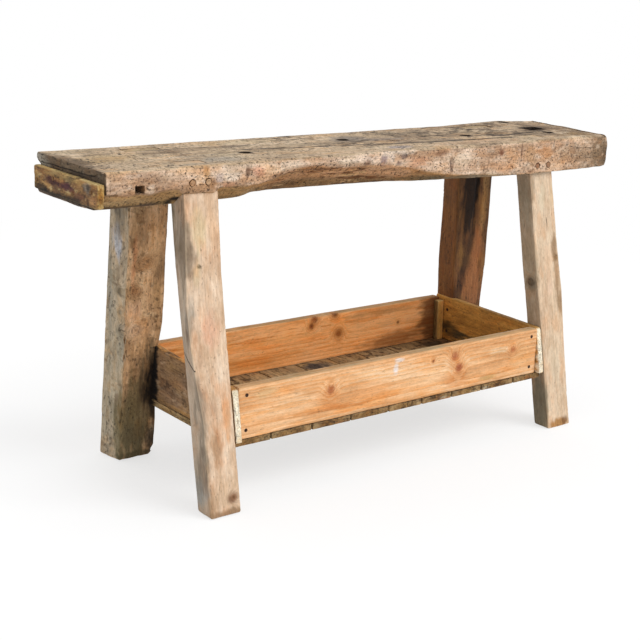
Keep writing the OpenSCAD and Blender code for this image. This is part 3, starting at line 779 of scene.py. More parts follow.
def makeSlab(values):
    # Rings of five segments: top, front face, hewn bevel, underside and back. A point's place along
    # the slab runs from the left end's line to the right end's line at its own depth.
    counts = values["counts"]
    rows = round((slabRight - slabLeft) / values["rowStep"])
    share = np.linspace(0, 1, rows)
    x = slabLeft + (slabRight - slabLeft) * share
    column = x[:, None]
    step = {key: (np.arange(count) / count)[None] for key, count in counts.items()}
    back = along(column, values["backEdge"])
    breakZ = along(column, values["breakLine"])
    depth = along(column, values["bevelDepth"])
    foot = along(column, values["bevelFoot"])
    front = slabFront + 0 * column
    top = slabTop + 0 * column
    yz = [
        (back + (front - back) * step["top"], top + 0 * step["top"]),
        (front + 0 * step["front"], top + (breakZ - top) * step["front"]),
        (front + depth * step["bevel"], breakZ + (foot - breakZ) * step["bevel"]),
        (front + depth + (back - front - depth) * step["under"],
         foot + (slabUnder + 0.5 - foot) * smoothStep(step["under"], 0, 0.3)),
        (back + 0 * step["back"], slabUnder + 0.5 + (top - slabUnder - 0.5) * step["back"]),
    ]
    y = np.concatenate([pair[0] for pair in yz], axis=1)
    z = np.concatenate([pair[1] for pair in yz], axis=1)
    sag = np.zeros_like(y)
    first = counts["top"] + counts["front"]
    bevel = slice(first, first + counts["bevel"])
    sag[:, bevel] = np.sin(math.pi * step["bevel"]) * smoothStep(depth, 40, 85) * values["bevelSag"]
    # Rings that shrink to the middle close both ends
    capShare = np.arange(values["capFrom"], capTo, values["capStep"])[:, None]
    caps = len(capShare)
    y, z = [
        np.concatenate([
            middle[:1] + (grid[:1] - middle[:1]) * capShare, grid,
            middle[-1:] + (grid[-1:] - middle[-1:]) * capShare[::-1],
        ])
        for grid, middle in ((part, part.mean(axis=1, keepdims=True)) for part in (y, z))
    ]
    sag = np.pad(sag, ((caps, caps), (0, 0)))
    share = np.pad(share, caps, mode="edge")[:, None]
    breakLevel = along(slabLeft + (slabRight - slabLeft) * share, values["breakLine"])
    rightEnd = along(y, values["rightEnd"])
    rings = np.stack([slabLeft + (rightEnd - slabLeft) * share, y, z], axis=-1)
    soft = soften(rings, values["softness"])
    # In the arch the lower front edge is rounded over, and the top's arris stays
    archShare = smoothStep(rings[..., 0], *values["archFrom"])
    archShare *= 1 - smoothStep(rings[..., 0], *values["archTo"])
    archShare *= smoothStep(slabTop - rings[..., 2], 8, 22)
    archShare *= 1 - smoothStep(breakLevel - rings[..., 2], 6, 26)
    soft += (soften(rings, values["archRounding"]) - soft) * archShare[..., None]
    normals = gridNormals(soft)
    seed = values["seed"]
    moved = soft - normals * sag[..., None]
    onBevel = np.zeros(rings.shape[:2])
    onBevel[:, bevel] = np.sin(math.pi * step["bevel"]) ** 0.5
    onTop = smoothStep(normals[..., 2], 0.6, 0.9)
    hewn = values["hewn"] * layered(rings, values["hewnSize"], seed, 4)
    hewn += values["hewnFine"] * noise(rings, values["hewnFineSize"], seed + 8)
    worn = values["worn"] + values["worn"] * layered(rings, values["wornSize"], seed + 3)
    worn += values["wornFine"] * noise(rings, values["wornFineSize"], seed + 6)
    arris = smoothStep(np.linalg.norm(soft - rings, axis=-1), 0.5, 2.5)
    chips = np.clip(layered(rings, values["chipSize"], seed + 13) - 0.05, 0, 1)
    worn += arris * (1 + values["chips"] * chips)
    inwards = np.clip(worn, 0.1, 3) + onBevel * (hewn + 1.5)
    inwards += onTop * values["endWear"] * smoothStep(rings[..., 0], *values["endWearFrom"])
    moved -= normals * inwards[..., None]
    moved = press(moved, normals, values["dents"])
    moved[..., 2] = np.minimum(moved[..., 2], slabTop - 0.1)
    return closedMesh("worn_slab_top", [moved])


def boxShell(low, high):
    # A closed box as three square rings, one above the other
    low, high = np.array(low, float), np.array(high, float)
    square = np.array([[0, 0], [1, 0], [1, 1], [0, 1]])
    ring = low[:2] + square * (high - low)[:2]
    return np.stack([
        np.column_stack([ring, np.full(4, low[2] + (high[2] - low[2]) * part)]) for part in (0, 0.5, 1)
    ])


def rodShell(centre, radius, axis, low, high, seed, sides=40):
    # A closed rod along Z or Y: a circle whose radius wavers by a few hundredths, swept straight
    angle = np.arange(sides) * 2 * math.pi / sides
    waver = radius * (1 + 0.03 * np.sin(2 * angle + seed) + 0.02 * np.sin(5 * angle + 2 * seed))
    levels = np.linspace(low, high, 5)[:, None]
    a = centre[0] + waver * np.cos(angle) + 0 * levels
    b = centre[1] + waver * np.sin(angle) + 0 * levels
    level = levels + 0 * angle
    return np.stack([a, b, level] if axis == "z" else [a, level, b], axis=-1)


def mountPlace(name):
    # The place of a mount that the record states, in millimetres
    return np.array(next(m["pos_m"] for m in frame["record"]["mounts"] if m["name"] == name)) / metre


def rowCentres(points, gap):
    # Splits points along X wherever they leave a gap, and gives each group's middle
    ordered = points[np.argsort(points[:, 0])]
    groups = np.split(ordered, np.nonzero(np.diff(ordered[:, 0]) > gap)[0] + 1)
    return [(group.min(axis=0) + group.max(axis=0)) / 2 for group in groups]


# Legs: a post up into the slab and a tenon through it. The shoulders are those of the frame.
legs = {
    "tenonSide": 5,
    "tenonIn": 20,
    "postTop": {"leg_front_left": 741, "leg_front_right": 722, "leg_back_left": 722, "leg_back_right": 722},
    "tenonBelowTop": 0.8,
}


def legSections(node):
    # Four sections of the leg: foot, shoulder of the post, root of the tenon and its end. The post
    # runs straight from the foot to a place round the tenon's end, and stops at the shoulder.
    points = cadPoints(node)
    foot = points[points[:, 2] < 0.5]
    head = points[points[:, 2] > slabTop - 0.5]
    footLow, footHigh = foot.min(axis=0), foot.max(axis=0)
    headLow, headHigh = head.min(axis=0), head.max(axis=0)
    depth = footHigh[1] - footLow[1]
    postX = [headLow[0] - legs["tenonSide"], headHigh[0] + legs["tenonSide"]]
    postY = [headLow[1] - legs["tenonIn"], headLow[1] - legs["tenonIn"] + depth]
    if footLow[1] > 0:
        postY = [headHigh[1] + legs["tenonIn"] - depth, headHigh[1] + legs["tenonIn"]]

    def section(xs, ys, z):
        return [[[x, y, z] for y in ys] for x in xs]

    shoulder = legs["postTop"][node]
    part = shoulder / slabTop
    xs = [footLow[0] + (postX[0] - footLow[0]) * part, footHigh[0] + (postX[1] - footHigh[0]) * part]
    ys = [footLow[1] + (postY[0] - footLow[1]) * part, footHigh[1] + (postY[1] - footHigh[1]) * part]
    tenonXs = [xs[0] + legs["tenonSide"], xs[1] - legs["tenonSide"]]
    tenonYs = [ys[0] + (headLow[1] - postY[0]), ys[0] + (headHigh[1] - postY[0])]
    end = slabTop - legs["tenonBelowTop"]
    return [
        section([footLow[0], footHigh[0]], [footLow[1], footHigh[1]], 0),
        section(xs, ys, shoulder),
        section(tenonXs, tenonYs, shoulder),
        section([headLow[0], headHigh[0]], [headLow[1], headHigh[1]], end),
    ]


# Openings cut into the shaped slab: clearance round the tenons and pegs shows as a dark line
holdfasts = [mount for mount in frame["record"]["mounts"] if mount["name"].startswith("holdfast")]
openings = {
    "over": 6,  # how far the cutters reach past the slab
    "stopSize": (64, 52),
    "frontHole": (24, 18, 60),
    "tenonGap": 0.5,
    "tenonDepth": 16,
    "pegGap": 1.8,
    "pegDrift": (-1.7, 0.7),
    "pegDepth": 16,
    "pegPastBack": 60,
    "notch": (32, 12, 46),
}
pegRadius = 7


def pegCentres():
    # The middles of the pegs' outer ends, in a list for the front and one for the back
    points = cadPoints("drawbore_pegs")
    y = points[:, 1]
    return [rowCentres(points[outer], pegRadius) for outer in (y < slabFront + 1, y > y.max() - 1)]


def cutSlab(piece, values):
    # One cutter of separate closed shells, taken out of the slab in one go
    over = values["over"]
    shells = []
    for number, mount in enumerate(holdfasts):
        centre = np.array(mount["pos_m"]) / metre
        shells.append(rodShell(
            centre, mount["dims"]["r_mm"], "z", slabUnder - over, slabTop + over, number
        ))
    stop = mountPlace("planing_stop_mortise")
    half = np.array(values["stopSize"]) / 2
    shells.append(boxShell((*(stop[:2] - half), slabUnder - over), (*(stop[:2] + half), slabTop + over)))
    hole = mountPlace("front_square_hole")
    length, height, depth = values["frontHole"]
    shells.append(boxShell(
        (hole[0] - length / 2, slabFront - over, hole[2] - height / 2),
        (hole[0] + length / 2, slabFront + depth, hole[2] + height / 2),
    ))
    notchLength, notchDepth, notchHeight = values["notch"]
    shells.append(boxShell(
        (slabLeft - over, slabFront - over, slabUnder - over),
        (slabLeft + notchLength, slabFront + notchDepth, slabUnder + notchHeight),
    ))
    for node in legs["postTop"]:
        end = np.array(legSections(node)[3])
        grow = np.array([values["tenonGap"], values["tenonGap"], 0])
        low = end.min(axis=(0, 1)) - grow
        high = end.max(axis=(0, 1)) + grow
        low[2] = slabTop - values["tenonDepth"]
        high[2] = slabTop + over
        shells.append(boxShell(low, high))
    front, back = pegCentres()
    for number, centre in enumerate(front):
        shells.append(rodShell(
            centre[[0, 2]] + values["pegDrift"], pegRadius + values["pegGap"], "y",
            slabFront - over, slabFront + values["pegDepth"], number,
        ))
    for number, centre in enumerate(back, len(front)):
        shells.append(rodShell(
            centre[[0, 2]], pegRadius + values["pegGap"], "y",
            centre[1] - values["pegDepth"], centre[1] + values["pegPastBack"], number,
        ))
    cutter = closedMesh("slabCutter", shells)
    modifier = piece.modifiers.new("openings", "BOOLEAN")
    modifier.operation = "DIFFERENCE"
    modifier.solver = "MANIFOLD"
    modifier.object = cutter
    applyModifiers(piece)
    bpy.data.objects.remove(cutter)


def applyModifiers(piece):
    # The mesh as its modifiers leave it takes the place of the mesh itself
    depsgraph = bpy.context.evaluated_depsgraph_get()
    result = bpy.data.meshes.new_from_object(piece.evaluated_get(depsgraph))
    piece.modifiers.clear()
    piece.data = result


slabPiece = makeSlab(slab)
cutSlab(slabPiece, openings)
print("slab shaped and cut:", len(slabPiece.data.vertices), "vertices")


def paintSlab(piece, values):
    # Grain runs along the slab round a pith below it. Colours go by place: top, face, hewn edge,
    # underside and ends, then the patches seen on it. The darker colours of the underside and of the
    # hewn edge's lower part are painted shade. The top and the edge are the most worn.
    points = meshPoints(piece)
    normals = vertexValues(piece, "normal")
    drop = along(points[:, 0], values["breakLine"]) - points[:, 2]
    up = smoothStep(normals[:, 2], 0.35, 0.75)
    forward = smoothStep(-normals[:, 1], 0.1, 0.4) * (1 - up)
    bevel = smoothStep(drop, -3, 4) * forward
    arch = smoothStep(points[:, 0], *values["archPaintFrom"])
    arch *= (1 - smoothStep(points[:, 0], *values["archPaintTo"])) * forward
    archEdge = smoothStep(drop, -8, 3) * arch
    amounts = {
        "top": up,
        "back": smoothStep(normals[:, 1], 0.5, 0.8),
        # The underside, the bevel's hollow and the arch's low edge face downwards: their darker colours are
        # painted shade
        "under": smoothStep(-normals[:, 2], 0.75, 0.95),
        "bevel": bevel,
        "hollow": bevel * smoothStep(drop, 14, 40),
        "archEdge": archEdge,
        "archLow": archEdge * smoothStep(drop, 20, 44),
        "ends": smoothStep(np.abs(normals[:, 0]), 0.5, 0.8),
    }
    tint = np.zeros((len(points), 4))
    seed = values["paintSeed"]
    large = layered(points, values["zoneSize"], seed)
    fine = layered(points, values["zoneFineSize"], seed + 4)
    for zone, amount in amounts.items():
        darkest, usual, lightest = values["zoneColours"][zone]
        layStainAndShade(tint, usual, amount)
        layStainAndShade(tint, darkest, amount * 0.9 * smoothStep(large + 0.7 * fine, 0.0, 0.7))
        layStainAndShade(tint, lightest, amount * 0.85 * smoothStep(-large + 0.7 * fine, 0.0, 0.7))
    stainAndShadePatches(tint, points, values["stainsAndShade"], values["ragged"], seed + 10)
    used = along(points[:, 0], values["scribbled"]) * (0.45 + 0.55 * smoothStep(points[:, 1], -90, -20))
    scribble(tint, points, values["scribbles"], up * used)
    scribble(tint, points, values["faceMarks"], forward * (1 - bevel))
    scribble(tint, points, values["archMarks"], archEdge)
    for mount in holdfasts:
        away = np.linalg.norm(points[:, :2] - np.array(mount["pos_m"][:2]) / metre, axis=-1)
        rim = smoothStep(away, mount["dims"]["r_mm"] + 0.5, values["holeRim"])
        layStainAndShade(tint, values["holeColour"], 0.9 * (1 - rim))
    away = np.abs(points[:, :2] - mountPlace("planing_stop_mortise")[:2])
    away = (away - np.array(openings["stopSize"]) / 2).max(axis=1)
    layStainAndShade(tint, values["holeColour"], 0.95 * (1 - smoothStep(away, 0.5, values["stopRim"])))
    setAttribute(piece, "grain", "FLOAT_VECTOR", points - np.array([0, *values["pith"]]))
    setAttribute(piece, "tint", "FLOAT_COLOR", tint)
    setAttribute(piece, "crack", "FLOAT_VECTOR", crackOffsets(points, values["cracks"]))
    edge = smoothStep(points[:, 2], slabTop - 9, slabTop - 2) * (1 - up)
    setAttribute(piece, "wear", "FLOAT", edge * smoothStep(-normals[:, 1], 0.2, 0.6))
    finishPiece(piece, "slab_timber", ["slab_top"])


def onPlane(axis, level, depth, rows):
    # Patches at one level of an axis, all equally deep. Each row holds the middle's two other
    # numbers, the two other radii, the colour and the strength.
    patches = []
    for a, b, wide, high, colour, strength in rows:
        middle, radii = np.insert(np.array([[a, b], [wide, high]], float), axis, [level, depth], axis=1)
        patches.append((middle, radii, colour, strength))
    return patches


# Patches: middle, radii, colour and strength. Scribbles: size, colour, strength and seed. Cracks:
# middle, direction, side, half length and half width.
face, top = slabFront, slabTop
slab.update({
    "pith": (30, 610),
    "ragged": (40, 26, 14),
    "paintSeed": 71,
    "zoneSize": (150, 90, 60),
    "zoneFineSize": (46, 34, 13),
    "zoneColours": {  # darkest, usual and lightest
        "top": ("#927d67", "#c0a98d", "#d8c3a8"),
        "back": ("#7b664e", "#9c8463", "#b09775"),
        # Painted shade: under, hollow and archLow are darker colours for the parts that face downwards
        "under": ("#574a38", "#766550", "#8c7a60"),
        "bevel": ("#8d6b41", "#c09766", "#dcb788"),
        "hollow": ("#5d4b2f", "#917650", "#b0915f"),
        "archEdge": ("#9a6a40", "#c49266", "#ddb089"),
        "archLow": ("#5f4730", "#846747", "#9c7c55"),
        "ends": ("#3f342a", "#5c4d3e", "#7c6a55"),
    },
    "archPaintFrom": (-380, -300),
    "archPaintTo": (20, 130),
    "holeColour": "#2b2019",
    "holeRim": 21,  # the dark colour reaches this far from a hole's middle, and this far from the mortise's sides
    "stopRim": 6,
    "scribbled": [(-815, 0.35), (-420, 0.45), (-200, 0.7), (60, 1), (480, 1), (600, 0.8), (833, 0.7)],
    "faceMarks": [
        ((9, 9, 7), "#6b4f3a", 0.55, 101), ((26, 20, 15), "#e6d0ba", 0.4, 102),
        ((20, 20, 13), "#b68a66", 0.45, 103),
    ],
    "archMarks": [((38, 14, 5), "#6d4220", 0.8, 105), ((38, 14, 5), "#efc592", 0.75, 106)],
    "scribbles": [
        ((44, 22, 26), "#6a5843", 0.7, 93), ((26, 13, 22), "#4a3b2d", 0.75, 94),
        ((18, 12, 22), "#3b2f24", 0.7, 96),
    ],
    "stainsAndShade": [
        *onPlane(1, face, 9, [
            (-575, 752, 54, 14, "#a67a50", 0.7), (-545, 760, 24, 18, "#9d7048", 0.7),
            (-560, 784, 15, 19, "#c0935f", 0.75), (-580, 768, 11, 12, "#dbb690", 0.7),
            (-524, 768, 15, 14, "#cbb7ae", 0.8), (-447, 774, 10, 20, "#6d4d3b", 0.8),
            (-418, 778, 22, 17, "#d9a58a", 0.7), (-490, 772, 30, 18, "#e6d2be", 0.85),
            (-360, 778, 44, 16, "#ebd2b9", 0.85), (-160, 780, 50, 14, "#ecd5bd", 0.85),
            (-660, 778, 60, 18, "#dcc2a8", 0.5), (-370, 790, 80, 9, "#e3cbb2", 0.6),
            (-640, 790, 60, 9, "#e3cbb2", 0.5), (-500, 752, 30, 9, "#c98b67", 0.5),
            (-245, 772, 80, 11, "#cb8b57", 0.7), (-330, 766, 40, 8, "#b98560", 0.55),
            (-110, 786, 110, 13, "#f2ddc8", 0.55), (-91, 780, 13, 20, "#7b5843", 0.85),
            (-70, 790, 80, 14, "#ebd3bf", 0.8), (-40, 776, 13, 27, "#7d676c", 0.75),
            (-22, 764, 20, 9, "#6d5653", 0.7), (-12, 780, 10, 17, "#e0cdbd", 0.7),
            (26, 785, 13, 12, "#7d6a66", 0.75), (12, 767, 16, 11, "#6d5653", 0.75),
            (0, 796, 90, 9, "#ecd9c6", 0.7), (80, 768, 50, 20, "#cc8c62", 0.5),
            (190, 757, 12, 27, "#6b4835", 0.9), (150, 785, 30, 12, "#8e7468", 0.4),
            (371, 773, 14, 14, "#7b4b33", 0.95), (150, 785, 34, 10, "#7d5d47", 0.6),
            (447, 771, 9, 26, "#a98065", 0.5), (540, 765, 44, 28, "#bd8554", 0.75),
            (635, 738, 50, 11, "#bc875a", 0.55), (480, 760, 34, 30, "#c99c70", 0.6),
            (380, 735, 60, 16, "#c39065", 0.5), (-720, 760, 130, 50, "#9c7a5e", 0.7),
        ]),
        # Painted shade: the two black patches where the front left leg meets the slab's underside, and the
        # two dark ones on the underside beside them
        ((-622, -116, 723), (18, 34, 12), "#1c150f", 1.0),
        ((-634, -104, 716), (22, 34, 12), "#1f1711", 1.0),
        ((-690, -90, 713), (50, 30, 8), "#4d3f37", 0.8),
        ((-740, -105, 728), (90, 44, 13), "#c09f72", 0.85),
        ((-760, -120, 738), (60, 20, 9), "#cda877", 0.7),
        ((-755, -96, 711), (90, 34, 8), "#5b4936", 0.8),
        ((-460, -110, 735), (70, 34, 9), "#a88a58", 0.5),
        *onPlane(1, face, 9, [
            (730, 745, 140, 60, "#97795b", 0.6), (770, 752, 80, 70, "#826a50", 0.85),
            (800, 745, 36, 70, "#67543f", 0.75), (590, 748, 90, 40, "#bd9067", 0.5),
            (700, 716, 60, 10, "#8a7157", 0.6), (-800, 790, 30, 12, "#b09880", 0.5),
            (-740, 755, 60, 8, "#a7835e", 0.5),
        ]),
        ((100, -100, 717), (110, 60, 12), "#75674c", 0.75),
        ((230, -110, 714), (110, 60, 10), "#736750", 0.75),
        ((300, -125, 712), (80, 24, 9), "#a59681", 0.7),
        ((806, face, 750), (16, 34, 70), "#5f4e3c", 0.8),
        *onPlane(2, top, 8, [
            (-480, -70, 75, 46, "#a09b92", 0.6), (-560, -94, 60, 30, "#aaa094", 0.6),
            (20, 80, 90, 56, "#837970", 0.85), (110, 40, 70, 24, "#867c74", 0.7),
            (50, -86, 60, 26, "#9a9294", 0.75), (230, 100, 120, 60, "#8a7a66", 0.6),
            (477, 147, 60, 26, "#5f4d3b", 0.8), (626, 176, 34, 26, "#5f4d3b", 0.8),
        ]),
        ((680, 50, top), (80, 70, 20), "#7b6550", 0.75),
        ((750, 60, top), (100, 170, 24), "#836b52", 0.85),
        ((640, -70, top), (120, 40, 16), "#90765c", 0.6),
        *onPlane(2, top, 8, [
            (600, -40, 110, 40, "#776451", 0.65), (350, 40, 160, 60, "#8d7962", 0.5),
            (735, -85, 90, 60, "#927349", 0.85), (-420, -20, 70, 70, "#d3bfa2", 0.5),
            (-70, 40, 130, 40, "#8d7e6b", 0.5), (300, -90, 240, 34, "#c8a88a", 0.6),
            (-100, -110, 200, 20, "#ccb298", 0.5), (-720, 40, 110, 70, "#b3986f", 0.6),
            (-560, 60, 60, 34, "#7b6750", 0.7), (-740, 150, 90, 34, "#9b8c74", 0.5),
            (-300, 140, 160, 40, "#c6b190", 0.6), (-640, -60, 60, 60, "#cdb494", 0.5),
        ]),
        ((-815, 176, 782), (9, 60, 34), "#a8a296", 0.9), ((-815, 0, 790), (9, 160, 8), "#8f8069", 0.6),
        ((-812, 20, top), (46, 180, 20), "#705d49", 0.85),
        # Painted shade: a dark stripe on the left end where the batten meets it
        ((-815, 60, 757), (9, 150, 9), "#2d241d", 0.6),
    ],
    "cracks": [
        ((-170, 4, top), (240, -33, 0), (0, 1, 0), 190, 4.5),
        ((90, -30, top), (300, -36, 0), (0, 1, 0), 280, 5.5),
        ((370, -55, top), (300, -26, 0), (0, 1, 0), 210, 5.5),
        ((-330, 34, top), (200, -24, 0), (0, 1, 0), 100, 2.0),
        ((-700, 96, top), (160, 10, 0), (0, 1, 0), 70, 2.0),
        ((-500, 100, top), (160, -8, 0), (0, 1, 0), 110, 2.2),
        ((-120, 130, top), (200, 6, 0), (0, 1, 0), 130, 2.4),
        ((200, 120, top), (200, -16, 0), (0, 1, 0), 100, 2.4),
        ((580, -10, top), (160, 20, 0), (0, 1, 0), 70, 3.0),
        ((560, 110, top), (160, 30, 0), (0, 1, 0), 80, 2.4),
        ((447, face, 772), (0, 0, 1), (1, 0, 0), 26, 0.8),
        ((573, face, 786), (0.1, 0, 1), (1, 0, 0), 13, 0.7),
        ((324, face, 750), (0.1, 0, 1), (1, 0, 0), 24, 0.5),
        ((190, face, 752), (-0.1, 0, 1), (1, 0, 0), 14, 0.9),
        ((690, face, 770), (1, 0, -0.06), (0, 0, 1), 50, 0.6),
        ((730, face, 741), (1, 0, 0.03), (0, 0, 1), 40, 0.5),
        ((slabLeft, 30, 782), (0, 1, -0.02), (0, 0, 1), 150, 1.3),
    ],
})
paintSlab(slabPiece, slab)
print("slab painted")

